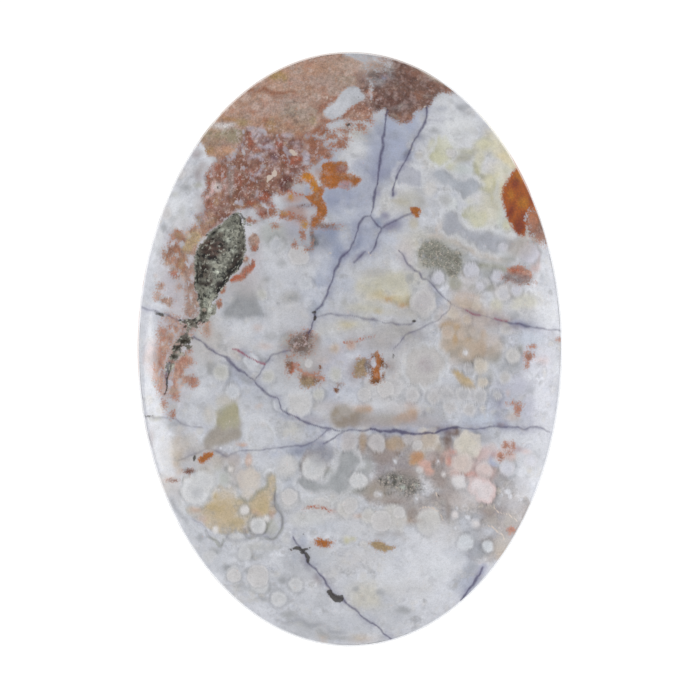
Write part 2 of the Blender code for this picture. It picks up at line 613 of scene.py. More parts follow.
# Blue and lavender clouds, which gather round the veins.
cloud(ICE, 0.8, ovals(places, [
    (2.6, 14.2, 1.6, 2.2), (-0.6, 10.6, 1.7, 1.2), (0.9, 8.4, 1.3, 1.8), (-2.0, 4.6, 0.9, 2.4, -25),
    (-1.6, 13.1, 0.4, 0.3), (4.2, 15.6, 0.5, 1.4, -30),
]))
cloud(ICE, 0.6, ovals(places, [
    (-3.4, -5.0, 1.6, 0.7, -25), (-7.6, -2.4, 1.6, 0.5, -35), (5.2, -5.6, 3.4, 0.35),
    (9.3, -4.9, 2.4, 0.6), (10.4, -3.8, 1.0, 0.9), (6.4, 3.6, 0.9, 0.6, -40), (-3.0, -7.1, 2.6, 0.4),
    (8.2, -16.2, 1.2, 1.0, 30), (-0.5, -3.6, 1.5, 0.9),
]), 0.7)
cloud(SLATE, 0.4, ovals(places, [
    (-1.8, 7.9, 0.9, 0.7), (-1.0, 8.6, 0.5, 0.3), (0.0, 6.75, 0.55, 0.2, 30),
    (4.0, 13.7, 0.25, 0.5, -25), (1.9, 9.0, 0.3, 0.4),
]), 0.8)
cloud(LAVENDER, 0.35, ovals(places, [
    (2.2, 12.45, 1.1, 0.45, 5), (3.0, 8.65, 0.7, 0.35, 15), (0.75, 6.6, 0.35, 0.15, 40),
    (10.75, -4.9, 0.3, 0.55), (12.2, -5.65, 0.55, 0.2), (12.0, 1.75, 0.9, 0.18, -8),
    (9.15, -15.8, 0.15, 0.5, -30), (8.3, -17.2, 0.2, 0.5, -40),
]), 0.85)
cloud(MAUVE, 0.3, ovals(places, [(4.3, 12.2, 0.7, 0.45), (3.9, 12.9, 0.5, 0.3)]), 0.55)
cloud(LILAC, 0.7, ovals(places, [
    (0.3, -1.0, 1.6, 1.4), (-1.2, -0.9, 1.2, 1.0), (13.0, -2.2, 1.3, 3.2), (9.3, 1.9, 0.8, 0.3),
    (-6.4, 15.4, 0.5, 0.4), (-4.2, 8.9, 1.0, 0.8), (8.0, 14.7, 0.7, 0.4), (12.4, 0.9, 1.6, 0.6),
]), 0.6)

# White clouds, the clearest in the lower right.
cloud(SNOW, 0.9, ovals(places, [
    (5.3, -15.2, 2.2, 1.6), (5.5, -13.6, 1.4, 0.8), (2.0, -15.3, 1.2, 1.0), (5.6, -17.3, 1.6, 0.9),
    (13.0, 4.6, 0.9, 1.8), (-12.8, 9.6, 0.8, 1.0), (-13.6, 7.0, 0.8, 1.6), (-13.8, 0.5, 0.6, 2.0),
    (10.0, 12.8, 0.8, 0.5), (7.2, 15.6, 1.6, 1.0), (13.2, -3.0, 0.9, 2.6), (12.8, -9.4, 0.7, 0.9),
]), 0.75)
cloud(PEARL, 0.7, ovals(places, [
    (-3.6, 6.6, 1.6, 1.0), (-4.1, 2.2, 1.6, 1.2), (4.4, -1.6, 1.6, 1.6), (-8.8, 0.4, 1.4, 1.0),
    (0.4, 13.8, 0.9, 0.6), (12.3, 3.2, 1.2, 0.8), (-1.6, -11.6, 2.0, 0.7), (2.3, -12.0, 0.9, 0.7),
    (-2.4, -15.5, 1.6, 1.2), (2.4, -3.0, 1.0, 1.0), (0.3, -14.8, 1.6, 0.7),
]), 0.7)

# Cream, straw and honey clouds.
cloud(CREAM, 0.8, ovals(places, [
    (2.4, 4.4, 2.0, 1.2), (4.9, 7.6, 0.9, 0.8), (4.6, 5.2, 0.7, 0.7), (-0.4, 1.7, 1.6, 0.5),
    (6.4, 13.4, 1.1, 1.1), (3.4, 10.4, 0.9, 0.4), (-4.0, -5.6, 0.4, 0.3), (1.3, -17.4, 1.4, 1.0),
    (0.4, 15.2, 0.7, 0.3),
]), 0.8)
cloud(STRAW, 0.35, ovals(places, [
    (6.1, 13.9, 0.5, 0.8), (6.8, 13.2, 0.7, 0.35), (8.7, 9.3, 0.85, 0.8), (9.3, 14.3, 0.65, 0.5),
    (9.0, 13.2, 0.3, 0.5), (9.6, 11.9, 0.6, 0.6), (10.3, 3.1, 0.4, 0.45), (1.9, 4.6, 1.1, 0.5),
    (3.6, 3.9, 0.6, 0.5), (-9.3, -5.0, 0.15, 0.6), (11.2, 8.7, 0.3, 0.5), (7.2, 12.7, 0.3, 0.3),
]), 0.75)
cloud(HONEY, 0.35, ovals(places, [
    (10.9, 13.7, 0.9, 0.5, -45), (10.1, 14.8, 0.7, 0.3, -50), (11.7, 12.9, 0.35, 0.35),
    (10.8, 11.1, 0.15, 0.4), (2.2, 3.7, 0.9, 0.25), (-0.3, 1.75, 0.5, 0.25), (-11.2, 7.6, 0.35, 0.5),
    (-10.7, 7.9, 0.5, 0.25, 30),
]), 0.8)
cloud(OCHRE, 0.22, ovals(places, [
    (2.65, 3.55, 0.35, 0.17), (3.8, 3.15, 0.45, 0.2), (3.2, 3.3, 0.4, 0.1, -15),
]), 0.8)

# Grey, where the chalcedony is clear enough to look down into.
cloud(MIST, 0.3, ovals(places, [
    (6.2, 12.3, 0.9, 0.45, -10), (8.0, 11.4, 0.9, 0.45), (7.0, 11.7, 0.5, 0.3, -40),
    (6.4, 17.0, 0.4, 0.3), (7.9, 17.1, 0.35, 0.2), (8.3, 15.5, 1.0, 0.28, 22), (5.1, 15.0, 0.4, 0.2),
    (3.1, 15.1, 0.5, 0.4), (1.4, 14.9, 0.5, 0.4), (6.3, 10.5, 0.5, 0.4), (-7.2, 4.0, 0.9, 0.6),
    (-8.1, 3.0, 0.8, 0.5), (-6.0, 2.5, 0.5, 0.3), (-4.3, 3.7, 0.6, 0.4), (-3.3, 5.7, 0.3, 0.2),
    (-4.7, 6.0, 0.3, 0.25), (-9.7, -1.4, 0.5, 0.6), (-0.4, 3.3, 0.25, 0.25), (2.4, 5.4, 0.35, 0.25),
    (1.2, 4.6, 0.3, 0.2), (-5.4, 4.9, 0.3, 0.2), (-11.8, 11.6, 0.3, 0.4), (-13.5, 7.3, 0.2, 0.4),
    (11.4, -1.2, 0.8, 0.45), (5.8, -0.7, 0.6, 0.5), (10.8, 7.0, 0.8, 0.8), (-12.8, 8.5, 0.3, 0.25),
    (2.2, -17.2, 0.3, 0.25), (3.6, -18.5, 0.6, 0.3), (5.0, -15.0, 0.35, 0.5), (13.7, 5.0, 0.3, 0.4),
]), 0.75)
cloud(SMOKE, 0.3, ovals(places, [
    (6.2, 15.35, 0.3, 0.13, -15), (-8.7, 2.5, 0.4, 0.3), (-7.9, 2.95, 0.4, 0.3), (-7.0, 2.4, 0.6, 0.2),
    (-13.0, 8.55, 0.3, 0.2), (-12.4, 9.2, 0.3, 0.15, 40), (-11.9, 9.8, 0.12, 0.3), (7.3, 8.8, 0.5, 0.5),
    (10.1, 7.3, 1.7, 0.5), (9.3, 8.0, 1.6, 0.25, -12), (-8.8, -15.35, 0.25, 0.2),
    (-4.7, -16.2, 0.25, 0.25), (-7.8, -16.7, 0.3, 0.2), (-4.1, -18.8, 0.45, 0.3),
    (-9.6, -14.2, 0.2, 0.12), (-12.3, -5.3, 0.7, 0.25), (6.1, -4.3, 0.4, 0.25),
    (-7.3, -1.9, 0.7, 0.2, -35), (-8.0, -14.0, 0.15, 0.12), (-10.4, 10.9, 0.3, 0.2),
    (-12.4, 10.9, 0.3, 0.15), (-2.15, -3.2, 0.28, 0.14),
]), 0.7)
cloud(MIST, 0.2, streaks(places, 0.22, [
    [(-4.7, -18.7), (-3.6, -19.2), (-2.8, -19.3), (-2.1, -19.7), (-1.6, -20.2), (-0.8, -20.4)],
    [(-7.4, -16.8), (-6.6, -16.9), (-5.7, -17.0)],
    [(-8.2, -14.4), (-7.5, -14.6), (-6.6, -14.7), (-5.9, -14.4)],
]), 0.9)
cloud(TAN, 0.35, ovals(places, [(0.9, -20.4, 0.7, 0.25), (-1.9, -20.2, 0.3, 0.4)]), 0.7)

# The grey jasper of the lower right, full of fine grains, and its warmer parts.
GREY_FIELD = [
    (-3.6, -9.2), (-3.3, -7.4), (-2.6, -6.9), (-1.4, -6.8), (-0.4, -6.4), (0.6, -6.1), (2.4, -6.0),
    (4.4, -6.2), (6.2, -6.1), (7.2, -7.2), (7.3, -8.3), (8.2, -9.0), (9.2, -8.9), (10.1, -8.2),
    (11.2, -9.2), (12.6, -10.6), (12.9, -11.4), (11.4, -14.0), (10.0, -15.0), (9.2, -15.0),
    (8.4, -14.7), (8.1, -13.6), (7.6, -13.0), (6.9, -13.4), (6.6, -12.7), (6.2, -11.3), (5.4, -11.1),
    (4.9, -11.5), (4.2, -12.2), (3.8, -11.4), (3.2, -11.1), (1.6, -11.0), (0.9, -10.4), (0.1, -10.2),
    (-1.0, -10.5), (-2.0, -10.2), (-3.1, -10.0),
]
grey_field = patch(places, GREY_FIELD)
cloud(TAUPE, 0.15, grey_field, 0.9)
cloud(SMOKE, 0.5, ovals(places, [
    (-1.6, -9.4, 2.0, 0.8), (-1.0, -7.6, 0.9, 0.5), (8.8, -14.0, 0.6, 0.9), (7.6, -12.3, 0.7, 0.9),
    (1.0, -8.2, 0.8, 0.8),
]), 0.75)
cloud(SLATE, 0.35, ovals(places, [
    (-2.9, -9.4, 0.7, 0.3, -25), (-2.0, -6.9, 1.0, 0.25), (8.6, -14.3, 0.4, 0.5),
]), 0.4)
cloud(MAUVE, 0.5, ovals(places, [
    (3.0, -8.2, 1.4, 0.9), (10.0, -11.7, 0.8, 0.7), (6.2, -8.0, 0.5, 0.7),
]), 0.5)
cloud(PEARL, 0.5, ovals(places, [
    (11.0, -14.0, 0.8, 0.6), (12.0, -10.2, 0.6, 0.5), (8.4, -11.4, 1.0, 0.4),
]), 0.45)
cloud(TAN, 0.4, ovals(places, [
    (3.2, -6.7, 0.6, 0.45), (4.8, -7.6, 0.6, 0.5), (4.4, -12.1, 0.6, 0.2), (10.7, -14.3, 0.5, 0.5),
]), 0.75)

# Sage and tan patches with a fairly firm edge.
cloud(SAGE, 0.18, patch(places, [
    (-9.3, -4.4), (-8.8, -3.95), (-8.1, -3.8), (-8.0, -4.4), (-8.1, -5.0), (-9.2, -5.3), (-9.35, -4.9),
]), 0.9)
cloud(TAUPE, 0.2, patch(places, [
    (-9.1, -5.2), (-8.0, -4.9), (-7.7, -5.4), (-7.7, -6.1), (-8.4, -6.5), (-9.4, -6.6), (-10.0, -7.1),
    (-10.3, -6.6), (-9.9, -5.9), (-9.4, -5.8),
]), 0.75)
cloud(SAGE, 0.15, streaks(places, 0.16, [
    [(6.0, 14.7), (6.4, 14.1), (7.0, 14.5), (7.4, 14.3)],
    [(7.3, 13.5), (7.9, 13.8), (8.4, 13.5), (8.7, 14.0), (9.0, 14.6), (9.8, 14.9), (10.1, 14.2)],
    [(8.7, 13.2), (8.8, 12.5), (9.2, 12.2), (9.9, 12.2), (10.2, 11.6), (9.9, 11.1), (9.3, 11.3)],
    [(8.4, 9.7), (8.6, 10.1), (9.4, 10.0), (10.3, 10.1)],
    [(8.5, 5.9), (9.3, 5.8), (9.9, 6.0), (10.6, 5.7), (11.0, 5.6)],
]), 0.65)
cloud(SAGE, 0.25, ovals(places, [
    (8.0, 13.6, 0.6, 0.3), (7.4, 4.6, 0.5, 0.4), (10.1, 5.75, 0.8, 0.2), (10.0, -0.3, 0.3, 0.5),
]), 0.7)
cloud(BUFF, 0.15, streak(places, 0.26, [
    (5.6, 7.9), (6.6, 7.95), (7.4, 7.6), (8.3, 7.2), (9.2, 6.7), (10.2, 6.5), (11.0, 6.2),
]), 0.55)
cloud(TAN, 0.3, ovals(places, [
    (8.3, 3.45, 0.95, 0.45), (6.4, 8.7, 0.25, 0.35), (7.0, 1.55, 0.4, 0.2), (8.4, 1.3, 0.7, 0.25),
    (9.3, 1.0, 0.4, 0.3), (7.6, 0.8, 0.3, 0.3), (-7.1, -7.9, 0.25, 0.5), (-12.0, -6.7, 0.5, 0.4),
    (-12.2, -7.6, 0.3, 0.5), (11.5, -4.8, 0.35, 0.25), (11.4, -7.55, 0.4, 0.25),
]), 0.6)
cloud(TAN, 0.2, patch(places, [
    (7.0, 0.9), (8.2, 1.1), (9.6, 1.0), (9.6, 0.1), (9.2, -0.7), (8.2, -0.8), (7.3, -0.3),
]), 0.8)
cloud(BUFF, 0.35, ovals(places, [
    (6.9, 0.2, 0.6, 0.6), (-12.1, -7.0, 0.6, 1.0), (-13.0, -9.8, 0.5, 0.9), (-8.0, -0.4, 0.4, 0.3),
    (-8.5, -10.3, 0.7, 0.5),
]), 0.6)
cloud(OCHRE, 0.14, patch(places, [
    (7.2, -1.5), (7.8, -1.6), (8.4, -2.1), (8.9, -2.7), (8.3, -2.85), (7.8, -2.5), (7.4, -1.9),
]), 0.8)

# The straw-coloured field of the lower left, with a dark line round part of it.
STRAW_FIELD = [
    (-11.5, -11.2), (-10.3, -10.9), (-9.9, -10.2), (-9.3, -9.6), (-8.8, -9.9), (-8.2, -9.7),
    (-7.9, -10.0), (-7.5, -10.6), (-7.0, -10.7), (-6.5, -10.0), (-5.9, -9.6), (-5.8, -9.0),
    (-5.3, -9.0), (-5.3, -10.9), (-5.2, -11.5), (-6.0, -11.6), (-7.0, -12.0), (-7.2, -12.9),
    (-8.0, -12.8), (-8.9, -13.0), (-9.9, -12.6), (-10.3, -12.2), (-11.0, -11.9),
]
straw_field = patch(places, STRAW_FIELD)
cloud((208, 209, 211), 0.3, straw_field + 0.7, 0.5)
cloud((158, 154, 142), 0.1, straw_field + 0.08, 0.7)
cloud(OCHRE, 0.14, straw_field, 0.6)
cloud(HONEY, 0.14, straw_field, 0.35)
cloud(SAGE, 0.2, ovals(places, [
    (-5.6, -12.6, 0.5, 0.55), (-8.6, -10.6, 0.6, 0.3), (-9.3, -10.8, 0.2, 0.1),
]), 0.5)

# Warm blushes.
cloud(ROSE, 0.3, ovals(places, [
    (8.8, 2.5, 0.5, 0.15, -15), (10.6, 2.2, 0.4, 0.2), (7.1, -7.8, 0.3, 0.3), (8.3, -8.85, 0.8, 0.2),
    (13.6, -0.8, 0.35, 0.25), (0.1, 0.35, 0.5, 0.3), (-0.9, 0.1, 0.45, 0.2), (13.1, 5.8, 0.3, 0.3),
    (-13.9, -0.6, 0.6, 1.2), (-10.0, 1.3, 0.3, 0.5), (2.45, -11.9, 0.35, 0.25),
]), 0.6)
cloud(PEACH, 0.2, patches(places, [
    [(0.1, -4.0), (0.8, -3.85), (1.5, -4.0), (1.4, -4.4), (0.8, -4.45), (0.3, -4.2)],
    [(3.1, -4.9), (3.8, -4.7), (4.3, -4.4), (4.7, -4.6), (4.6, -5.1), (3.8, -5.2), (3.1, -5.3)],
]), 0.85)
cloud(PEACH, 0.15, ovals(places, [
    (0.7, -11.75, 0.42, 0.13), (-6.4, -4.0, 0.22, 0.1, 20), (8.2, -0.6, 0.1, 0.1),
    (-6.2, -5.3, 0.25, 0.18), (-6.1, -6.2, 0.2, 0.1), (-7.6, -6.7, 0.3, 0.1), (-6.9, -5.6, 0.12, 0.1),
    (11.15, -3.05, 0.12, 0.2), (-13.7, 5.15, 0.12, 0.1), (3.1, -1.95, 0.1, 0.07), (13.4, 7.9, 0.3, 0.3),
]), 0.7)
cloud(STRAW, 0.2, ovals(places, [(-0.25, -13.4, 0.4, 0.25), (2.5, -4.8, 0.6, 0.2)]), 0.7)
cloud(OCHRE, 0.25, patch(places, [
    (-0.9, -4.1), (-0.3, -3.8), (0.1, -4.0), (0.2, -5.2), (-0.4, -5.4), (-1.2, -5.4), (-1.4, -5.0),
    (-1.0, -4.5),
]), 0.35)
cloud(TAUPE, 0.25, ovals(places, [(-0.45, -4.6, 0.7, 0.8), (0.4, -4.8, 0.35, 0.5)]), 0.6)


# Darker and lighter parts of the whole ground.
dab((166, 171, 190), 0.5, 0.65, [
    (-0.8, 10.7, 1.4, 1.0), (1.0, 11.0, 0.8, 1.5), (2.4, 14.0, 1.2, 1.8), (0.9, 8.6, 0.9, 1.4),
    (-1.6, 13.2, 0.7, 0.3),
])
dab((176, 170, 176), 0.4, 0.7, [
    (-3.4, 10.2, 1.2, 1.4), (-4.4, 8.4, 0.8, 0.7), (-2.6, 12.9, 0.7, 0.6), (-1.6, 14.4, 1.4, 0.5),
])
dab((197, 189, 189), 0.4, 0.65, [
    (8.2, -10.4, 1.2, 0.6), (7.4, -9.0, 0.5, 0.9), (9.2, -9.2, 1.2, 0.6), (8.4, -7.6, 0.8, 0.6),
])
dab((194, 193, 197), 0.4, 0.6, [
    (7.0, -12.4, 1.2, 1.0), (8.0, -13.2, 0.8, 0.7), (5.4, -12.0, 1.0, 0.7), (10.4, -10.6, 0.8, 0.4),
])
dab((196, 199, 206), 0.6, 0.6, [
    (-11.2, -12.4, 1.0, 1.4), (-9.4, -15.2, 1.6, 1.2), (-12.6, -10.6, 0.6, 1.2), (-5.5, -3.0, 1.5, 1.0),
    (-7.0, -5.9, 0.8, 1.2),
])
dab((183, 180, 190), 0.4, 0.6, [
    (-12.2, 3.6, 0.5, 1.0), (-12.6, 4.8, 0.4, 0.5), (-12.6, 7.9, 0.5, 0.5), (-13.0, 1.9, 0.5, 0.4),
])
dab((184, 186, 196), 0.5, 0.55, [
    (-3.8, 1.6, 1.2, 0.9), (-1.2, 2.2, 1.5, 0.6), (-4.0, 4.8, 1.2, 0.8), (2.0, -4.9, 2.2, 0.4),
    (0.8, 0.4, 1.8, 0.7),
])
dab((158, 158, 168), 0.25, 0.5, [
    (3.6, 1.3, 0.9, 0.25, 35), (2.9, 0.3, 0.5, 0.3, 40), (5.9, -3.6, 0.5, 0.2), (6.3, -4.2, 0.4, 0.2),
    (5.0, 0.9, 0.7, 0.2, -30),
])

dab(OATMEAL, 0.5, 0.6, [(7.8, 2.3, 1.6, 1.3), (7.6, -0.3, 1.3, 0.8)])
dab((178, 178, 176), 0.35, 0.6, [
    (6.2, 5.2, 1.2, 0.7), (7.6, 7.6, 1.6, 0.7), (9.8, 6.0, 1.4, 0.5), (9.9, -0.4, 0.7, 0.7),
])
dab((206, 196, 192), 0.4, 0.5, [
    (3.9, 6.8, 0.6, 1.0), (5.4, 3.5, 0.5, 0.8), (8.3, 5.0, 0.7, 0.5), (10.9, 4.2, 0.9, 0.5),
])
dab((205, 195, 190), 0.4, 0.5, [
    (3.8, -4.2, 1.0, 0.4), (6.6, -3.0, 0.9, 0.4), (1.8, -5.3, 0.9, 0.25), (-1.2, -4.0, 1.2, 0.4),
])

# Small zones of the upper right: honey and straw beads in a white ground, and clear grey
# grains with a sparkle.
dab((212, 214, 219), 0.4, 0.7, [
    (7.1, 17.1, 1.0, 0.9), (6.2, 15.9, 1.0, 0.5), (0.4, 14.2, 0.8, 0.5), (8.7, 16.1, 0.8, 0.4),
])
dab((171, 178, 200), 0.5, 0.75, [
    (3.3, 14.4, 0.6, 1.4, -10), (2.9, 15.6, 0.6, 0.8), (4.2, 15.9, 0.5, 0.6), (1.9, 13.6, 0.4, 0.6),
])
dab((152, 156, 170), 0.22, 0.6, [
    (3.1, 15.05, 0.5, 0.25), (4.85, 15.0, 0.4, 0.25), (1.3, 15.1, 0.35, 0.2), (1.3, 14.5, 0.3, 0.15),
    (2.2, 15.4, 0.2, 0.4), (6.45, 17.0, 0.3, 0.15), (7.85, 17.1, 0.3, 0.2), (8.3, 15.25, 0.7, 0.15, 15),
])
dab(STEEL, 0.12, 0.7, [(6.15, 15.33, 0.2, 0.07, -15), (4.0, 13.75, 0.15, 0.3, -20)])
dab((196, 197, 170), 0.2, 0.8, [(6.3, 13.6, 0.55, 0.8), (6.9, 13.1, 0.35, 0.3), (5.9, 14.4, 0.25, 0.35)])
dab((170, 172, 148), 0.13, 0.7, [
    (6.5, 14.25, 0.35, 0.12, 20), (7.0, 14.55, 0.3, 0.12), (6.4, 13.9, 0.1, 0.3), (7.3, 14.3, 0.2, 0.1),
])
dab((174, 172, 160), 0.2, 0.75, [
    (7.9, 13.5, 0.75, 0.28), (8.6, 13.9, 0.35, 0.25), (8.0, 13.95, 0.2, 0.2),
])
dab((197, 204, 202), 0.25, 0.75, [
    (7.9, 12.65, 0.75, 0.4), (7.2, 10.2, 0.35, 0.55), (10.6, 9.1, 0.3, 0.8),
])
dab((160, 156, 154), 0.12, 0.5, [(6.2, 12.25, 0.95, 0.55)])
dab((178, 179, 188), 0.15, 0.8, [(6.25, 12.2, 0.7, 0.36), (6.9, 11.7, 0.35, 0.3, -40)])
dab((161, 168, 182), 0.2, 0.85, [
    (7.9, 11.3, 0.75, 0.42), (8.45, 11.45, 0.25, 0.28), (7.3, 11.0, 0.35, 0.2),
])
dab((173, 173, 177), 0.2, 0.7, [(6.55, 10.45, 0.45, 0.35), (4.95, 10.4, 0.35, 0.4)])
dab((202, 200, 172), 0.2, 0.8, [
    (8.75, 9.3, 0.45, 0.6), (9.2, 8.65, 0.5, 0.3), (9.35, 14.4, 0.45, 0.35), (9.0, 13.3, 0.3, 0.4),
    (9.65, 11.55, 0.3, 0.35), (8.4, 10.5, 0.3, 0.15), (11.0, 8.7, 0.25, 0.4), (9.0, 12.6, 0.2, 0.3),
])
dab((166, 164, 145), 0.1, 0.75, [
    (8.8, 12.35, 0.2, 0.12), (9.4, 12.15, 0.35, 0.08, -15), (9.95, 12.2, 0.25, 0.09),
    (10.25, 11.8, 0.08, 0.25), (9.95, 11.2, 0.22, 0.12, 30), (9.3, 11.35, 0.07, 0.25),
    (8.55, 10.0, 0.22, 0.25), (9.0, 10.05, 0.35, 0.08), (10.0, 10.7, 0.1, 0.3), (10.95, 12.6, 0.2, 0.1),
    (9.85, 8.85, 0.15, 0.08), (8.95, 13.9, 0.3, 0.08, 50),
])
dab((158, 156, 160), 0.12, 0.6, [
    (9.8, 10.15, 0.45, 0.09, 5), (10.25, 10.05, 0.15, 0.2), (8.9, 9.65, 0.1, 0.15),
])
dab((213, 211, 210), 0.25, 0.8, [
    (9.9, 12.9, 0.6, 0.35), (10.5, 12.4, 0.3, 0.3), (9.9, 9.5, 0.35, 0.35), (5.6, 11.3, 0.5, 0.5),
])
dab((214, 199, 168), 0.2, 0.85, [
    (10.9, 13.55, 0.75, 0.22, -40), (11.6, 12.9, 0.3, 0.2), (10.3, 14.2, 0.5, 0.3, -40),
    (10.75, 11.3, 0.12, 0.35),
])
dab((158, 160, 166), 0.2, 0.85, [
    (6.95, 9.05, 0.6, 0.3), (7.45, 8.55, 0.5, 0.4), (9.3, 7.75, 0.7, 0.25, -10), (10.1, 7.3, 0.5, 0.4),
])
dab((184, 163, 146), 0.12, 0.8, [(6.4, 8.7, 0.17, 0.28), (6.15, 8.4, 0.12, 0.12)])
dab(LINEN, 0.18, 0.8, [
    (6.3, 7.95, 0.7, 0.18, -5), (7.6, 7.55, 0.6, 0.2, -25), (8.8, 6.95, 0.7, 0.2, -20),
    (10.4, 6.4, 0.8, 0.17, -12),
])
dab((164, 166, 166), 0.2, 0.75, [
    (11.2, 6.6, 0.55, 0.55), (9.7, 5.35, 0.4, 0.4), (11.9, 7.6, 0.3, 0.2), (8.1, 6.6, 0.3, 0.3),
])
dab((150, 150, 132), 0.1, 0.7, [
    (9.9, 5.85, 0.9, 0.12, -5), (9.2, 6.0, 0.3, 0.12), (10.9, 5.65, 0.3, 0.08),
])
ringed((190, 192, 205), (200, 200, 210), [
    (10.9, 7.25, 0.45), (10.35, 5.1, 0.45), (8.5, 5.5, 0.5), (6.2, 5.0, 0.42),
])
ringed((150, 148, 174), (186, 184, 202), [(12.65, 6.75, 0.72)])
dab((184, 158, 156), 0.15, 0.6, [
    (13.0, 5.7, 0.35, 0.2), (13.3, 6.3, 0.1, 0.4), (11.1, 12.0, 0.2, 0.4, 30),
])

# Small zones of the middle.
dab((138, 145, 169), 0.25, 0.75, [
    (-1.0, 10.45, 0.4, 0.22), (-0.4, 10.2, 0.25, 0.15), (-1.6, 7.7, 0.35, 0.5), (1.8, 9.0, 0.35, 0.3),
    (-1.4, 8.2, 0.5, 0.15), (0.6, 7.6, 0.2, 0.5, -20), (-2.2, 8.15, 0.15, 0.15),
])
dab((136, 134, 158), 0.2, 0.75, [
    (2.9, 8.75, 0.5, 0.3), (2.5, 9.4, 0.3, 0.25), (-0.3, 6.75, 0.3, 0.2, 30), (0.8, 6.6, 0.4, 0.14, 40),
    (1.95, 11.05, 0.2, 0.3), (3.1, 11.0, 0.15, 0.25),
])
dab((188, 193, 207), 0.3, 0.7, [
    (0.3, 11.4, 0.5, 0.5), (-0.1, 9.3, 0.5, 0.3), (-0.7, 11.4, 0.4, 0.3), (2.7, 7.8, 0.6, 0.4),
    (-0.2, 4.5, 0.6, 0.6), (-1.8, 5.4, 0.3, 0.9),
])
dab((177, 180, 178), 0.3, 0.8, [(-5.4, 8.1, 1.0, 0.8), (-4.9, 7.3, 0.9, 0.3), (-3.6, 7.3, 0.3, 0.3)])
dab((170, 170, 168), 0.2, 0.7, [
    (-4.8, 6.0, 0.28, 0.22), (-3.2, 5.8, 0.22, 0.18), (-0.4, 3.35, 0.17, 0.17), (2.3, 4.7, 0.25, 0.2),
    (0.95, 3.8, 0.17, 0.15),
])
dab((178, 176, 174), 0.25, 0.7, [
    (-4.2, 3.75, 0.7, 0.4), (-5.0, 4.6, 0.3, 0.35), (-6.15, 4.7, 0.12, 0.5, -20),
    (-6.3, 3.9, 0.25, 0.3), (1.7, 5.4, 0.8, 0.3),
])
dab((164, 171, 184), 0.2, 0.7, [(-6.3, 2.5, 0.25, 0.25), (-2.5, 2.75, 0.4, 0.35), (-0.9, 5.9, 0.25, 0.2)])
dab((197, 194, 178), 0.3, 0.8, [
    (2.0, 4.4, 1.5, 0.5), (3.3, 4.9, 1.0, 0.6), (1.0, 2.9, 1.2, 0.35), (3.4, 2.6, 0.9, 0.25),
    (-0.1, 1.8, 0.55, 0.2),
])
dab((192, 180, 146), 0.2, 0.75, [
    (2.2, 3.9, 0.6, 0.2), (3.2, 3.5, 0.9, 0.25, -10), (2.0, 2.7, 0.3, 0.2), (4.05, 3.4, 0.25, 0.4),
    (-0.2, 1.75, 0.3, 0.12),
])
dab(TOFFEE, 0.13, 0.85, [(2.7, 3.5, 0.22, 0.13), (3.75, 3.1, 0.3, 0.15)])
dab((190, 183, 166), 0.15, 0.75, [(3.55, 10.4, 0.65, 0.22, -8), (4.5, 8.9, 0.3, 0.4)])
dab((205, 204, 208), 0.25, 0.8, [(3.9, 11.4, 0.7, 0.4), (3.5, 9.8, 0.5, 0.2)])
dab((150, 150, 160), 0.15, 0.6, [(4.5, 0.85, 0.6, 0.15, -8), (5.5, 0.8, 0.4, 0.1, -10)])

# Small zones of the right side: a tan field with orbs, an ochre lens and a row of eyes.
ringed((187, 184, 187), (203, 201, 202), [(5.45, -0.95, 1.2), (5.2, 3.3, 0.9)])
dab((176, 158, 158), 0.15, 0.4, [(5.3, -1.0, 0.3, 0.2), (5.0, -0.8, 0.15, 0.15)])
dab((183, 168, 153), 0.2, 0.85, [(7.9, 0.5, 1.5, 0.9), (7.2, 1.5, 0.8, 0.4), (8.9, -0.1, 0.8, 0.6)])
dab((188, 160, 126), 0.13, 0.75, [
    (6.75, 1.75, 0.45, 0.14, 10), (7.4, 0.7, 0.22, 0.35), (9.4, 1.1, 0.2, 0.4), (7.5, 1.5, 0.2, 0.2),
    (8.3, 0.75, 0.3, 0.1),
])
dab((164, 157, 149), 0.15, 0.75, [
    (7.3, -0.3, 0.45, 0.3), (8.1, -0.85, 0.6, 0.2), (7.7, 0.1, 0.25, 0.15), (9.2, -0.55, 0.3, 0.15),
])
ringed((192, 176, 163), (203, 194, 186), [(6.85, 1.15, 0.44), (7.9, 1.0, 0.28), (8.65, 1.25, 0.25)])
ringed((196, 196, 202), PORCELAIN, [
    (8.15, 2.05, 0.38), (9.6, 2.65, 0.3), (9.5, 4.6, 0.36), (10.8, 3.95, 0.52), (10.2, 0.7, 0.5),
])
dab((205, 205, 212), 0.14, 0.8, [(9.2, 1.95, 0.75, 0.2, 5), (8.3, -4.4, 0.8, 0.3), (7.5, 2.5, 0.25, 0.2)])
dab((165, 164, 161), 0.2, 0.85, [
    (10.2, -0.35, 0.45, 0.6), (11.35, -0.25, 0.3, 0.25), (12.0, 0.0, 0.25, 0.4), (9.9, -1.9, 0.2, 0.4),
])
dab((172, 174, 180), 0.18, 0.85, [(11.3, -1.25, 0.75, 0.42), (12.7, -2.9, 0.35, 0.3)])
dab((192, 170, 132), 0.1, 0.85, [
    (7.6, -1.7, 0.45, 0.17, -25), (8.25, -2.35, 0.42, 0.35, -35), (8.6, -2.7, 0.3, 0.12),
])
ringed((207, 199, 190), (210, 204, 197), [(9.25, -1.25, 0.56), (9.3, -2.35, 0.36)])
ringed(ASH, (203, 201, 204), [
    (6.45, -3.25, 0.44), (7.52, -3.25, 0.5), (8.8, -3.3, 0.5), (8.35, -1.3, 0.33),
])
dab((186, 187, 202), 0.5, 0.7, [(11.4, -2.6, 1.3, 0.6), (10.6, -3.6, 0.6, 0.7), (12.6, -4.2, 0.6, 0.8)])
dab(THISTLE, 0.2, 0.8, [(10.5, -4.85, 0.35, 0.35), (10.9, -5.2, 0.2, 0.3), (10.5, -3.8, 0.15, 0.3)])
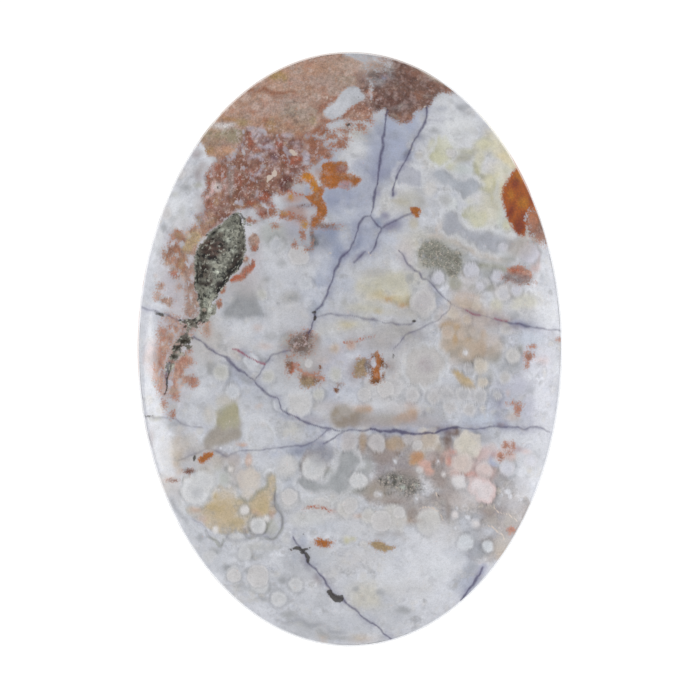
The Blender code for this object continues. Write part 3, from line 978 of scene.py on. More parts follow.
dab(MELON, 0.14, 0.8, [(4.4, -4.7, 0.3, 0.3), (4.15, -4.95, 0.2, 0.15)])
dab((196, 178, 172), 0.2, 0.6, [(4.3, -3.9, 0.4, 0.25), (11.3, -4.85, 0.4, 0.2)])
dab((146, 145, 153), 0.14, 0.75, [
    (5.25, -4.5, 0.15, 0.25), (6.1, -4.2, 0.35, 0.14, 10), (5.8, -4.45, 0.3, 0.08, 25),
    (5.0, -3.0, 0.13, 0.15),
])
dab(GLACIER, 0.3, 0.75, [(9.4, -4.95, 1.5, 0.25), (12.6, 0.8, 1.1, 0.45), (6.9, -5.2, 0.6, 0.15)])
dab((207, 205, 192), 0.25, 0.75, [(12.4, 3.4, 0.9, 0.5), (10.35, 3.0, 0.25, 0.45), (11.7, 3.0, 0.4, 0.2)])
dab((190, 165, 154), 0.2, 0.85, [(8.25, 3.55, 0.75, 0.35)])
dab(BISCUIT, 0.12, 0.7, [(7.6, 3.6, 0.18, 0.35), (8.95, 3.5, 0.2, 0.25)])
dab((160, 136, 114), 0.12, 0.7, [(8.0, 3.15, 0.5, 0.12, -10), (9.1, 3.1, 0.2, 0.15)])
dab((128, 112, 118), 0.14, 0.65, [
    (10.5, 2.15, 0.4, 0.17), (8.4, 2.72, 0.5, 0.13, -20), (10.6, -5.35, 0.2, 0.15),
    (4.3, 1.2, 0.3, 0.1),
])
dab((128, 136, 154), 0.16, 0.7, [(11.9, 1.75, 0.9, 0.13, -8)])
dab((150, 150, 140), 0.2, 0.7, [(7.4, 4.6, 0.3, 0.4), (9.9, 4.3, 0.25, 0.25), (8.6, 4.4, 0.3, 0.15)])

# Small zones of the lower right: big round grains lie in a grainy grey, some pink or orange.
dab((196, 199, 211), 0.1, 0.9, [(-0.2, -6.55, 0.75, 0.72)])
dab((142, 147, 164), 0.25, 0.8, [
    (-2.6, -6.85, 0.9, 0.25), (-1.6, -7.3, 0.4, 0.5), (-3.6, -7.2, 0.5, 0.3),
])
dab((122, 127, 136), 0.14, 0.8, [(-3.1, -9.45, 0.42, 0.35, -30), (-2.7, -9.8, 0.4, 0.15, -15)])
dab((158, 161, 157), 0.3, 0.7, [(0.1, -9.9, 1.6, 0.3), (1.0, -8.3, 0.6, 0.5), (-1.3, -8.8, 0.5, 0.6)])
dab((156, 144, 140), 0.3, 0.8, [
    (2.4, -7.5, 0.8, 0.6), (3.9, -9.0, 0.9, 0.6), (6.3, -9.0, 0.6, 0.8), (7.4, -10.3, 1.3, 0.4),
    (9.6, -11.6, 0.5, 0.5),
])
dab((172, 145, 124), 0.16, 0.85, [(3.1, -6.7, 0.65, 0.42), (0.9, -6.5, 0.22, 0.55)])
dab((166, 140, 130), 0.2, 0.85, [(6.1, -7.6, 0.6, 0.45), (6.8, -7.3, 0.3, 0.4)])
ringed((193, 186, 184), (199, 192, 190), [(1.85, -6.65, 0.56), (4.9, -6.4, 0.5), (-0.35, -7.9, 0.36)])
ringed((193, 172, 152), (203, 195, 189), [(5.75, -6.6, 0.6)])
ringed((203, 202, 200), (196, 196, 196), [(-2.55, -8.35, 0.82), (0.6, -9.2, 0.6)])
dab((190, 150, 112), 0.13, 0.9, [(4.75, -7.6, 0.42, 0.35, 30), (4.4, -7.95, 0.25, 0.2)])
dab((208, 168, 150), 0.12, 0.9, [
    (5.2, -8.15, 0.45, 0.38), (5.65, -8.55, 0.25, 0.18), (7.0, -7.85, 0.28, 0.3),
])
dab((214, 186, 180), 0.1, 0.6, [(5.25, -8.1, 0.25, 0.2), (6.75, -7.35, 0.2, 0.15)])
ringed((207, 200, 190), (205, 197, 189), [(8.3, -6.8, 1.0)])
ringed((206, 196, 191), (208, 196, 192), [(7.9, -8.1, 0.72)])
dab((208, 194, 196), 0.15, 0.8, [(8.9, -8.0, 0.4, 0.45), (9.5, -8.75, 0.6, 0.45), (9.9, -7.0, 0.5, 0.35)])
dab(SALMON, 0.09, 0.85, [(8.0, -8.85, 0.65, 0.1), (8.35, -8.98, 0.14, 0.12), (7.4, -8.7, 0.2, 0.08)])
ringed((215, 213, 215), (216, 194, 191), [(8.95, -9.65, 0.68), (9.75, -10.15, 0.62)])
ringed((221, 216, 216), (214, 209, 212), [
    (7.65, -9.4, 0.5), (6.6, -8.78, 0.2), (7.4, -11.7, 0.28), (8.8, -12.3, 0.4),
])
dab(PERIWINKLE, 0.13, 0.75, [(10.1, -8.1, 0.3, 0.13, -20), (9.9, -7.8, 0.1, 0.2)])
dab((214, 192, 190), 0.14, 0.85, [
    (10.6, -7.5, 0.45, 0.4), (11.2, -6.9, 0.55, 0.45), (11.3, -7.5, 0.4, 0.3), (12.4, -7.2, 0.35, 0.15),
])
dab((174, 148, 152), 0.14, 0.8, [(11.8, -7.05, 0.35, 0.22), (10.1, -7.45, 0.2, 0.2)])
ringed((206, 207, 217), (213, 211, 217), [(11.1, -8.4, 0.5), (12.8, -7.9, 0.5)])
dab((163, 163, 169), 0.25, 0.75, [
    (10.5, -9.2, 0.45, 0.45), (8.9, -14.2, 0.5, 0.6), (6.9, -12.6, 0.3, 0.7), (9.3, -12.9, 0.9, 0.4),
    (9.4, -6.3, 0.5, 0.3),
])
dab((186, 185, 191), 0.3, 0.7, [(11.9, -9.6, 0.7, 0.6), (11.5, -11.0, 0.6, 0.4)])
dab((177, 171, 166), 0.3, 0.7, [
    (11.4, -12.0, 0.6, 0.4), (10.8, -13.8, 0.6, 0.6), (10.0, -12.2, 0.5, 0.4),
])
ringed((206, 202, 202), (202, 193, 192), [(5.5, -11.8, 0.7), (6.0, -12.5, 0.75)])
dab((182, 152, 132), 0.12, 0.75, [
    (4.55, -12.1, 0.45, 0.1, -8), (-2.85, -11.12, 0.25, 0.06), (-2.0, -11.22, 0.35, 0.07, -12),
])
dab(PETAL, 0.13, 0.7, [
    (5.3, -12.4, 0.3, 0.16, -20), (2.45, -11.9, 0.3, 0.16), (-1.2, -11.42, 0.5, 0.08, -8),
])
dab((168, 163, 162), 0.2, 0.6, [
    (3.4, -13.0, 0.5, 0.2), (3.9, -13.35, 0.25, 0.15), (2.2, -13.05, 0.4, 0.15),
])
dab((214, 216, 223), 0.5, 0.85, [
    (6.0, -14.6, 1.8, 1.3), (4.7, -12.95, 0.5, 0.3), (7.6, -13.7, 0.5, 0.4), (5.4, -16.4, 1.4, 0.9),
])
dab((205, 206, 207), 0.25, 0.8, [
    (-2.0, -10.75, 1.5, 0.35), (2.9, -11.6, 0.9, 0.4), (0.0, -10.7, 0.7, 0.3), (-3.0, -12.0, 1.2, 0.5),
    (1.5, -11.4, 0.4, 0.3),
])
dab((196, 201, 212), 0.35, 0.7, [
    (-1.2, -12.5, 1.4, 0.4), (0.4, -11.3, 0.25, 0.25), (-3.35, -13.5, 0.25, 0.35),
    (-4.35, -9.6, 0.4, 0.6),
])
ringed((207, 206, 207), (197, 197, 199), [(-4.4, -8.25, 0.8), (-4.4, -10.6, 0.7)])
dab(HAY, 0.13, 0.8, [(-0.25, -13.45, 0.2, 0.25), (0.25, -13.35, 0.2, 0.12)])

# Small zones of the lower left.
dab((164, 159, 152), 0.16, 0.9, [
    (-9.2, -6.0, 0.8, 0.55), (-8.3, -5.9, 0.6, 0.5), (-10.05, -6.4, 0.25, 0.3),
])
dab((168, 160, 136), 0.14, 0.85, [
    (-8.6, -5.2, 0.7, 0.35), (-8.2, -4.5, 0.35, 0.5), (-9.2, -4.9, 0.2, 0.6),
])
dab((132, 122, 116), 0.12, 0.7, [
    (-9.6, -7.15, 0.5, 0.1, -8), (-8.8, -7.5, 0.2, 0.2), (-10.8, -7.4, 0.25, 0.1, 30),
    (-10.0, -6.9, 0.2, 0.2), (-11.9, -7.8, 0.4, 0.07),
])
dab(FOG, 0.15, 0.75, [(-9.15, -7.7, 0.4, 0.22), (-8.2, -7.8, 0.5, 0.5)])
dab((190, 175, 163), 0.2, 0.8, [
    (-12.1, -6.9, 0.3, 0.7), (-12.3, -8.0, 0.2, 0.4), (-12.0, -8.6, 0.3, 0.3),
])
dab((194, 189, 184), 0.3, 0.7, [(-11.3, -6.4, 0.6, 0.5), (-11.9, -5.6, 0.4, 0.25)])
dab((108, 84, 72), 0.09, 0.9, [(-11.3, -8.6, 0.36, 0.17)])
dab((184, 158, 148), 0.1, 0.8, [(-12.5, -9.2, 0.38, 0.17), (-12.9, -9.15, 0.15, 0.1)])
dab((150, 150, 146), 0.06, 0.55, [
    (-10.9, -10.0, 1.08, 1.04), (-10.2, -9.2, 0.88, 0.86), (-8.45, -8.5, 0.4, 0.38),
    (-6.55, -12.4, 0.76, 0.78), (-7.45, -11.35, 0.5, 0.46),
])
ringed((201, 201, 206), (209, 208, 209), [(-10.2, -9.2, 0.76), (-10.9, -10.0, 0.95)])
ringed((190, 193, 190), (196, 197, 196), [(-9.35, -8.35, 0.38), (-8.85, -9.15, 0.6)])
ringed((206, 199, 192), (203, 194, 186), [(-7.1, -9.3, 0.85), (-7.25, -10.2, 0.42)])
dab((196, 178, 148), 0.14, 0.8, [
    (-9.2, -11.5, 1.2, 0.8), (-6.4, -10.9, 0.7, 0.9), (-9.6, -12.3, 0.7, 0.35), (-8.8, -10.5, 0.7, 0.5),
])
dab((182, 164, 124), 0.2, 0.5, [
    (-9.5, -11.2, 0.7, 0.3), (-7.9, -12.2, 0.6, 0.3), (-6.2, -11.1, 0.4, 0.5),
    (-9.4, -10.3, 0.25, 0.25),
])
dab((192, 158, 138), 0.15, 0.55, [
    (-6.6, -11.5, 0.4, 0.12, -15), (-10.4, -12.0, 0.35, 0.25), (-5.5, -11.6, 0.25, 0.3),
    (-10.9, -11.3, 0.4, 0.2),
])
ringed(FROST, (219, 216, 215), [
    (-8.45, -8.5, 0.24), (-8.5, -9.65, 0.16), (-7.45, -11.35, 0.38), (-6.55, -12.4, 0.64),
    (-5.92, -11.95, 0.2), (-9.45, -12.7, 0.24),
])
dab((206, 206, 206), 0.2, 0.7, [
    (-8.3, -13.3, 0.6, 0.25), (-6.5, -13.9, 1.2, 0.3), (-4.5, -13.3, 0.25, 0.4),
])
dab((206, 170, 150), 0.1, 0.8, [
    (-7.15, -7.8, 0.22, 0.42), (-7.6, -6.72, 0.32, 0.1), (-6.9, -5.6, 0.13, 0.1),
])
dab((212, 200, 196), 0.08, 0.7, [(-7.15, -7.85, 0.1, 0.22)])
dab((166, 150, 144), 0.08, 0.75, [(-6.05, -6.22, 0.2, 0.11), (-6.2, -5.3, 0.22, 0.14)])
dab((197, 201, 213), 0.3, 0.7, [(-6.3, -5.9, 0.7, 0.5)])
dab((168, 176, 198), 0.2, 0.7, [(-5.3, -6.6, 0.22, 0.35), (-5.3, -7.4, 0.3, 0.15)])
outline = streaks(places, 0.11, [
    [
        (-7.5, -12.8), (-7.2, -13.3), (-6.4, -13.25), (-5.6, -13.4), (-5.0, -13.0), (-4.75, -12.2),
        (-4.9, -11.5), (-5.3, -10.7), (-5.25, -9.8),
    ],
    [(-10.2, -12.8), (-10.0, -13.2), (-9.5, -13.5), (-9.1, -13.9), (-8.9, -13.4)],
    [
        (-7.9, -9.4), (-7.9, -10.1), (-7.5, -10.65), (-7.0, -10.7), (-6.6, -10.1), (-5.9, -9.7),
        (-5.8, -9.1),
    ],
    [(-5.9, -12.9), (-5.7, -12.3), (-5.4, -12.0)],
])
cloud((146, 148, 138), 0.08, outline, 0.65)

# Small zones of the left edge.
dab((206, 206, 211), 0.2, 0.8, [
    (-12.4, 2.65, 0.75, 0.3), (-12.9, 9.9, 0.5, 0.6), (-11.5, 12.6, 0.5, 0.4), (-10.8, 10.3, 0.3, 0.8),
    (-13.6, 8.0, 0.3, 0.6),
])
dab((160, 150, 152), 0.2, 0.7, [
    (-10.8, 13.8, 0.45, 0.3), (-10.7, 12.3, 0.3, 0.45), (-12.6, 5.9, 0.2, 0.2), (-13.8, -0.6, 0.3, 0.5),
    (-14.0, -6.2, 0.2, 0.6),
])
dab((166, 164, 150), 0.15, 0.7, [
    (-10.7, 11.6, 0.35, 0.2), (-12.35, 10.9, 0.25, 0.15), (-11.8, 9.7, 0.12, 0.3),
    (-12.3, 9.2, 0.3, 0.12, 40), (-13.7, -4.85, 0.5, 0.2),
])
dab(PEWTER, 0.2, 0.7, [(-7.4, 3.6, 0.9, 0.6), (-8.4, 2.6, 0.5, 0.35), (-6.6, 2.8, 0.45, 0.4)])
dab((206, 180, 166), 0.2, 0.7, [(-13.1, 0.4, 0.25, 1.0), (-11.6, -0.7, 0.5, 0.3)])
dab((168, 168, 170), 0.2, 0.6, [
    (-9.7, -1.4, 0.4, 0.5), (-9.2, 0.9, 0.35, 0.25), (-8.3, -2.6, 0.4, 0.3), (-5.6, 0.9, 0.4, 0.25),
    (-10.3, -4.1, 0.3, 0.2),
])

# Dark manganese and rust seen through the milky ground.
dab((84, 80, 80), 0.16, 0.85, [
    (-2.45, 7.75, 0.26, 0.32, -15), (-2.6, 7.3, 0.15, 0.25, -20), (-2.2, 8.0, 0.2, 0.15),
])
dab((112, 98, 94), 0.18, 0.7, [(-1.7, 8.65, 0.7, 0.16, -12), (-2.6, 8.5, 0.14, 0.4, -15)])
dab((150, 156, 178), 0.2, 0.6, [(-3.2, 10.1, 0.6, 0.15), (-3.0, 11.2, 0.2, 0.4), (-1.3, 10.6, 0.3, 0.6)])
dab(COPPER, 0.16, 0.7, [(-0.2, 12.0, 0.5, 0.22), (-1.2, 12.6, 0.5, 0.3), (0.4, 12.0, 0.35, 0.15)])
dab((170, 128, 110), 0.2, 0.55, [
    (-3.9, 9.6, 0.9, 0.5), (-4.0, 10.6, 0.7, 0.25), (-3.3, 8.9, 0.6, 0.3), (-2.2, 12.3, 0.3, 0.4),
])
dab((132, 116, 116), 0.2, 0.8, [
    (-3.25, -14.8, 0.28, 0.42, 20), (-3.0, -15.3, 0.2, 0.35, 25), (-2.4, -16.1, 0.15, 0.35, 30),
])
dab((96, 88, 84), 0.14, 0.7, [(-1.2, -17.35, 0.5, 0.2, -35), (-3.5, -14.1, 0.5, 0.12)])
dab((165, 172, 192), 0.2, 0.6, [
    (-3.3, -13.6, 0.25, 0.35), (-3.9, -14.7, 0.2, 0.3), (-2.5, -15.0, 0.2, 0.4),
])
dab((166, 168, 171), 0.18, 0.75, [
    (-4.4, -18.7, 0.35, 0.2), (-3.3, -19.4, 0.7, 0.2, -10), (-2.0, -19.9, 0.4, 0.25, -35),
    (-0.6, -20.4, 0.6, 0.15),
])
dab((176, 178, 180), 0.25, 0.7, [
    (-6.2, -14.0, 0.9, 0.2), (-7.0, -14.6, 0.9, 0.15), (-9.5, -14.2, 0.3, 0.2),
    (-6.6, -17.0, 0.8, 0.15),
])
dab((184, 188, 200), 0.3, 0.6, [(-0.4, -19.4, 0.7, 0.4), (1.4, -18.9, 0.6, 0.4), (2.6, -17.6, 0.5, 0.4)])
dab((148, 132, 124), 0.22, 0.7, [(-3.4, 0.3, 1.0, 0.8), (-4.2, 1.0, 0.4, 0.3), (-2.5, 0.7, 0.4, 0.4)])
ringed((192, 174, 160), (206, 197, 188), [(-1.05, 0.05, 0.4)])
ringed(BISQUE, (202, 186, 178), [(0.07, 0.3, 0.36)])
ringed((200, 199, 200), (210, 210, 213), [(-3.6, 6.6, 0.75), (-3.6, -3.8, 0.95)])
dab((206, 186, 178), 0.2, 0.6, [(-6.0, 0.2, 0.5, 0.2), (-2.0, -0.8, 0.4, 0.2), (-6.5, 1.5, 0.35, 0.2)])

# Last touches of tone over the small zones.
dab((160, 148, 134), 0.2, 0.85, [(-0.5, -4.65, 0.75, 0.75), (0.25, -5.05, 0.35, 0.4)])
dab((188, 160, 140), 0.14, 0.9, [
    (0.85, -4.2, 0.6, 0.2), (3.75, -4.8, 0.75, 0.28, 10), (4.4, -4.55, 0.3, 0.28),
])
dab((199, 176, 158), 0.2, 0.6, [
    (4.4, -4.4, 0.5, 0.3), (3.0, -5.2, 0.6, 0.2), (8.8, 2.7, 0.8, 0.25, -15), (9.6, 2.3, 0.6, 0.2),
])
dab((178, 172, 172), 0.4, 0.55, [
    (1.8, 0.5, 1.4, 0.5), (0.4, 1.0, 0.8, 0.3), (3.7, 2.6, 0.8, 0.3), (-1.8, -0.4, 0.8, 0.5),
])
dab((156, 146, 144), 0.35, 0.65, [
    (-3.4, 0.2, 1.3, 1.0), (-2.8, -1.4, 0.9, 0.5), (2.9, -1.2, 0.3, 0.6), (0.3, -1.5, 0.4, 0.7),
])
dab((206, 208, 215), 0.6, 0.6, [
    (-5.0, 5.2, 1.6, 1.2), (-5.0, 2.4, 1.2, 0.6), (7.6, -2.9, 1.6, 0.3), (7.6, -3.5, 1.6, 0.3),
    (-6.0, -7.6, 0.9, 0.7),
])
dab((202, 195, 193), 0.45, 0.6, [
    (8.4, -10.5, 1.2, 0.5), (7.6, -8.8, 0.4, 0.6), (-9.9, -7.9, 1.0, 0.3), (-8.0, -8.8, 0.5, 0.8),
    (-12.2, -9.6, 0.4, 0.8),
])
dab((206, 206, 209), 0.5, 0.6, [
    (6.6, -13.2, 1.2, 0.8), (8.0, -12.8, 0.6, 0.7), (0.5, -12.6, 1.6, 0.6), (4.0, -16.8, 1.6, 0.8),
])
dab((170, 160, 160), 0.25, 0.6, [
    (-12.1, 4.8, 0.25, 0.5), (-12.2, 7.2, 0.3, 0.4), (-10.5, 10.2, 0.3, 0.8), (-10.3, 12.9, 0.4, 0.4),
    (-8.6, 14.0, 0.8, 0.35),
])
dab((196, 186, 166), 0.3, 0.5, [
    (-10.1, -8.7, 0.5, 0.4), (-12.3, -7.2, 0.35, 0.7), (-8.7, -3.6, 0.7, 0.4), (-9.9, -4.6, 0.4, 0.5),
])

# Grains with an outline: a darker rim, and a white halo round it.


def lobed(colour, rim, points, soft=0.09, halo=0.6):
    """A grain of the ground with an outline of its own, a rim and a snowy halo round it."""
    reach = patch(places, points) + uneven_rim
    tint(ground, (212, 214, 219), 0.14, reach + 0.3, halo)
    tint(ground, rim, soft, reach, 0.7 * faint_rim + 0.15)
    tint(ground, colour, 0.14, reach - 0.15, 0.75)
    calm[:] = np.maximum(calm, smooth_step(-0.3, 0, reach))


lobed((173, 178, 187), (158, 160, 166), [
    (5.7, 12.4), (6.3, 12.8), (7.0, 12.5), (7.8, 12.0), (8.8, 12.0), (9.2, 11.6), (8.9, 11.1),
    (8.4, 10.8), (8.0, 10.6), (7.7, 11.0), (7.2, 11.2), (6.9, 11.6), (6.5, 11.7), (6.0, 12.0),
])
lobed((180, 181, 182), (170, 170, 170), [(6.3, 10.9), (6.9, 11.0), (7.3, 10.5), (7.0, 10.1), (6.4, 10.2)])
lobed((168, 171, 181), (160, 160, 164), [
    (6.5, 9.6), (7.3, 9.7), (7.9, 9.1), (8.5, 8.5), (9.8, 8.3), (10.9, 8.0), (11.7, 7.5), (11.2, 6.8),
    (10.3, 6.7), (9.2, 7.1), (8.3, 7.6), (7.4, 8.0), (6.7, 8.2), (6.5, 8.8),
])
lobed((203, 202, 176), CELERY, [
    (5.9, 14.2), (6.3, 14.9), (7.2, 14.7), (7.4, 14.0), (7.0, 13.3), (6.2, 13.0), (5.7, 13.5),
])
lobed((206, 205, 184), (176, 176, 150), [
    (8.3, 9.9), (9.0, 10.1), (9.7, 9.7), (9.7, 8.9), (9.1, 8.5), (8.4, 8.7), (8.0, 9.3),
])
lobed((184, 186, 196), (172, 174, 186), [
    (3.3, 12.5), (4.1, 12.9), (4.9, 12.6), (4.9, 11.8), (4.2, 11.4), (3.4, 11.8),
])
dab((208, 204, 182), 0.16, 0.75, [
    (9.4, 14.4, 0.45, 0.35), (10.1, 14.4, 0.3, 0.3), (9.2, 13.6, 0.35, 0.4), (9.9, 11.9, 0.35, 0.4),
    (10.3, 12.3, 0.2, 0.2),
])
dab((170, 168, 140), 0.07, 0.6, [
    (8.9, 12.7, 0.12, 0.5, 20), (9.5, 11.3, 0.45, 0.1), (10.2, 11.6, 0.1, 0.3),
    (8.3, 9.9, 0.35, 0.13, 25), (8.1, 14.0, 0.7, 0.2),
])
dab((214, 211, 213), 0.2, 0.7, [(10.2, 12.9, 0.6, 0.45), (9.1, 10.7, 0.5, 0.25), (9.4, 9.9, 0.6, 0.2)])
ringed((191, 190, 206), (204, 203, 214), [(12.6, 6.8, 0.72)])
ringed((199, 199, 209), (208, 208, 215), [
    (10.8, 7.2, 0.35), (8.5, 5.6, 0.5), (6.2, 5.0, 0.45), (10.4, 5.1, 0.42), (11.7, 4.2, 0.4),
    (9.2, 4.4, 0.25),
])
lobed((204, 203, 201), (180, 180, 178), [
    (-11.6, -9.0), (-10.8, -8.9), (-10.0, -8.5), (-9.5, -9.0), (-9.6, -9.7), (-10.0, -10.2),
    (-10.3, -10.7), (-11.1, -10.9), (-11.7, -10.3),
], 0.06)
lobed((156, 158, 162), (148, 150, 154), [
    (-8.9, 2.3), (-8.4, 3.3), (-7.6, 3.7), (-6.9, 3.9), (-6.5, 2.9), (-5.9, 2.4), (-6.8, 2.5),
    (-7.6, 2.2), (-8.3, 2.5),
], 0.25, 0)
lobed((162, 165, 168), (156, 158, 162), [
    (-3.7, -9.3), (-3.3, -8.8), (-2.6, -9.4), (-1.7, -9.3), (-1.0, -8.6), (-0.6, -7.4), (0.2, -7.2),
    (0.9, -8.0), (0.2, -8.6), (0.0, -9.8), (-0.6, -10.2), (-1.6, -10.1), (-2.4, -10.0), (-3.2, -9.9),
])
lobed((168, 161, 153), (162, 155, 148), [
    (-10.1, -6.3), (-9.4, -5.3), (-8.0, -4.9), (-7.6, -5.6), (-7.9, -6.3), (-8.6, -6.6), (-9.8, -6.9),
], 0.22, 0)
lobed(LICHEN, (166, 162, 140), [
    (-9.3, -4.6), (-8.7, -3.9), (-8.0, -3.7), (-7.8, -4.5), (-8.0, -5.5), (-9.2, -5.5),
], 0.22, 0)
lobed((205, 207, 214), (188, 188, 188), [
    (-7.2, -6.0), (-6.6, -5.4), (-5.8, -5.5), (-5.3, -6.1), (-5.6, -6.8), (-6.6, -7.0),
], 0.06)
lobed((190, 174, 158), (206, 198, 190), [
    (6.9, 3.2), (7.6, 3.6), (8.6, 3.5), (9.4, 3.0), (9.7, 2.4), (8.8, 2.2), (7.8, 2.6), (7.0, 2.5),
], 0.12)
lobed((199, 196, 196), (182, 180, 180), [
    (4.3, -0.2), (5.3, 0.3), (6.3, -0.1), (6.7, -1.2), (6.2, -2.2), (5.2, -2.6), (4.3, -2.2),
    (3.9, -1.2),
], 0.12)
dab((186, 181, 184), 0.2, 0.8, [(5.3, -1.1, 0.6, 0.6)])
dab((172, 160, 164), 0.1, 0.6, [(5.1, -0.9, 0.25, 0.1, 20), (5.5, -1.3, 0.2, 0.1)])
ringed((182, 182, 186), (206, 205, 207), [
    (6.8, -3.2, 0.42), (8.0, -3.2, 0.48), (9.2, -3.3, 0.5), (10.4, -3.3, 0.3),
])
dab((160, 162, 166), 0.15, 0.75, [
    (-4.8, 6.05, 0.32, 0.25), (-13.1, 8.6, 0.25, 0.35), (-12.6, 9.3, 0.2, 0.4, 30),
    (-12.4, 12.2, 0.5, 0.3), (-11.6, 11.4, 0.4, 0.25), (-11.9, 9.9, 0.12, 0.4),
    (-12.9, 11.0, 0.25, 0.3), (-13.5, 6.9, 0.2, 0.3), (-5.9, 4.9, 0.3, 0.2), (-4.0, 3.6, 0.4, 0.25),
    (-4.6, 0.9, 0.3, 0.2), (-6.0, -0.8, 0.35, 0.2), (-9.9, -1.3, 0.4, 0.45), (-8.7, -1.7, 0.35, 0.3),
    (-9.2, 0.3, 0.3, 0.25), (-7.4, -2.2, 0.5, 0.2, -35), (-2.2, -3.3, 0.28, 0.17),
    (-6.4, -3.4, 0.25, 0.12), (-4.5, -5.4, 0.3, 0.12), (-9.6, -14.3, 0.3, 0.2), (-7.2, -15.6, 0.3, 0.2),
    (-8.7, -15.4, 0.25, 0.25), (-4.8, -16.3, 0.3, 0.25), (-6.1, -17.6, 0.4, 0.2),
    (-10.6, -13.3, 0.25, 0.3), (3.8, -18.4, 0.5, 0.25), (2.2, -17.1, 0.3, 0.25),
    (0.4, -16.9, 0.25, 0.2), (6.0, 15.4, 0.35, 0.15, -20), (7.9, 17.1, 0.4, 0.2),
    (9.6, -2.0, 0.3, 0.25), (10.8, 0.6, 0.4, 0.3), (11.6, 2.4, 0.4, 0.3), (4.2, 5.0, 0.3, 0.3),
    (6.2, 3.8, 0.3, 0.25),
])
dab((213, 215, 221), 0.25, 0.6, [
    (-12.2, 10.4, 0.6, 0.3), (-11.0, 9.0, 0.5, 0.4), (-5.6, 6.9, 0.8, 0.5), (-3.0, 5.4, 0.6, 0.5),
    (-5.6, 3.6, 0.5, 0.4), (-7.6, 1.3, 0.8, 0.5), (-10.6, -3.0, 0.6, 0.4), (-6.8, -4.8, 0.6, 0.3),
    (-3.6, -2.9, 0.6, 0.25), (3.2, 5.9, 0.4, 0.4), (2.0, -3.9, 0.7, 0.2), (7.1, -4.2, 1.1, 0.3),
    (-12.2, -12.2, 0.4, 0.8), (-8.0, -14.9, 0.6, 0.25), (-5.2, -15.0, 0.5, 0.4),
    (-9.4, -16.4, 0.5, 0.5), (3.0, -16.2, 1.0, 0.5), (-1.6, -14.8, 0.7, 0.5),
])
dab(DUSK, 0.4, 0.6, [
    (-0.4, 11.1, 1.0, 0.7), (0.7, 12.9, 0.6, 0.6), (-1.9, 13.9, 0.8, 0.3), (1.9, 12.2, 0.5, 1.0),
])
dab(DENIM, 0.35, 0.7, [(-1.8, 7.9, 0.9, 0.7), (-0.9, 7.0, 0.5, 0.7)])
dab((168, 174, 194), 0.5, 0.6, [(-3.0, 7.0, 1.3, 0.8), (-3.4, 8.3, 0.9, 0.5)])
dab(CHARCOAL, 0.15, 0.8, [(-2.45, 7.75, 0.24, 0.32, -15), (-2.65, 7.3, 0.13, 0.25, -20)])
dab((150, 140, 124), 0.25, 0.75, [(-0.45, -4.7, 0.85, 0.75)])
dab((176, 171, 178), 0.3, 0.65, [(1.2, -5.1, 1.6, 0.35), (5.2, -5.2, 1.8, 0.3), (-2.6, -5.0, 0.8, 0.3)])
dab((192, 164, 144), 0.14, 0.8, [
    (0.9, -4.25, 0.6, 0.2), (3.8, -4.8, 0.75, 0.26, 10), (4.4, -4.55, 0.3, 0.26),
])
dab((181, 177, 177), 0.5, 0.5, [
    (3.2, 1.0, 1.5, 1.1), (9.4, 1.6, 1.2, 1.0), (-3.6, -0.4, 1.6, 1.2), (-7.0, 4.4, 1.2, 0.8),
])
dab((187, 189, 195), 0.5, 0.55, [
    (-3.2, -15.0, 1.5, 1.4), (-1.2, -19.4, 2.6, 0.8), (2.4, -19.0, 1.4, 0.7), (-2.8, -17.6, 1.2, 0.7),
])
dab((184, 177, 170), 0.4, 0.6, [(-10.3, -7.3, 1.1, 0.6), (-9.3, -7.9, 0.8, 0.5), (-10.2, -8.4, 0.5, 0.3)])
dab((214, 215, 221), 0.6, 0.65, [(6.0, -15.2, 1.7, 1.3), (6.3, -13.0, 0.9, 0.7), (4.8, -13.6, 0.8, 0.6)])
ringed((216, 211, 213), (216, 192, 190), [(8.95, -9.65, 0.66), (9.75, -10.15, 0.62)])
ringed((206, 207, 210), (215, 216, 219), [(-10.25, -9.2, 0.72), (-10.9, -10.0, 0.92)])
ringed((200, 201, 203), (213, 213, 215), [
    (-2.6, -8.3, 0.85), (-6.5, -12.45, 0.58), (0.6, -9.2, 0.58), (7.65, -9.4, 0.5),
])
# The pink and cream group in the lower right, under a brown wedge that hangs from the vein.
dab((110, 88, 76), 0.22, 0.95, [
    (7.15, -5.8, 0.65, 0.38), (6.9, -6.45, 0.35, 0.55), (6.3, -5.6, 0.4, 0.16),
])
dab((208, 178, 174), 0.3, 0.65, [
    (8.4, -8.6, 1.2, 0.6), (9.6, -8.7, 0.7, 0.5), (7.2, -7.6, 0.4, 0.7), (9.3, -7.4, 0.6, 0.5),
])
ringed((194, 182, 170), (210, 204, 198), [(5.45, -6.35, 0.88)])
ringed((186, 182, 184), (200, 197, 199), [(1.9, -6.6, 0.6), (4.1, -6.2, 0.4), (-0.1, -6.5, 0.6)])
ringed((207, 201, 190), (214, 208, 200), [(8.3, -6.75, 0.98)])
ringed((208, 194, 188), (213, 202, 198), [(7.95, -8.0, 0.74)])
dab(FLAMINGO, 0.08, 0.75, [
    (8.2, -8.84, 0.7, 0.1, 8), (7.05, -7.9, 0.14, 0.3), (7.25, -7.2, 0.22, 0.12),
    (9.0, -8.9, 0.4, 0.06),
])
ringed((213, 196, 194), (216, 206, 205), [(9.5, -8.55, 0.55)])
ringed((223, 214, 216), (219, 200, 200), [(9.5, -9.98, 0.85), (8.95, -9.5, 0.6)])
ringed((220, 217, 218), (214, 211, 214), [(7.65, -9.35, 0.52)])
dab(CORAL, 0.14, 0.8, [(5.3, -8.2, 0.42, 0.45), (5.6, -8.7, 0.3, 0.2)])
dab(CARAMEL, 0.14, 0.85, [(4.75, -7.55, 0.45, 0.38)])
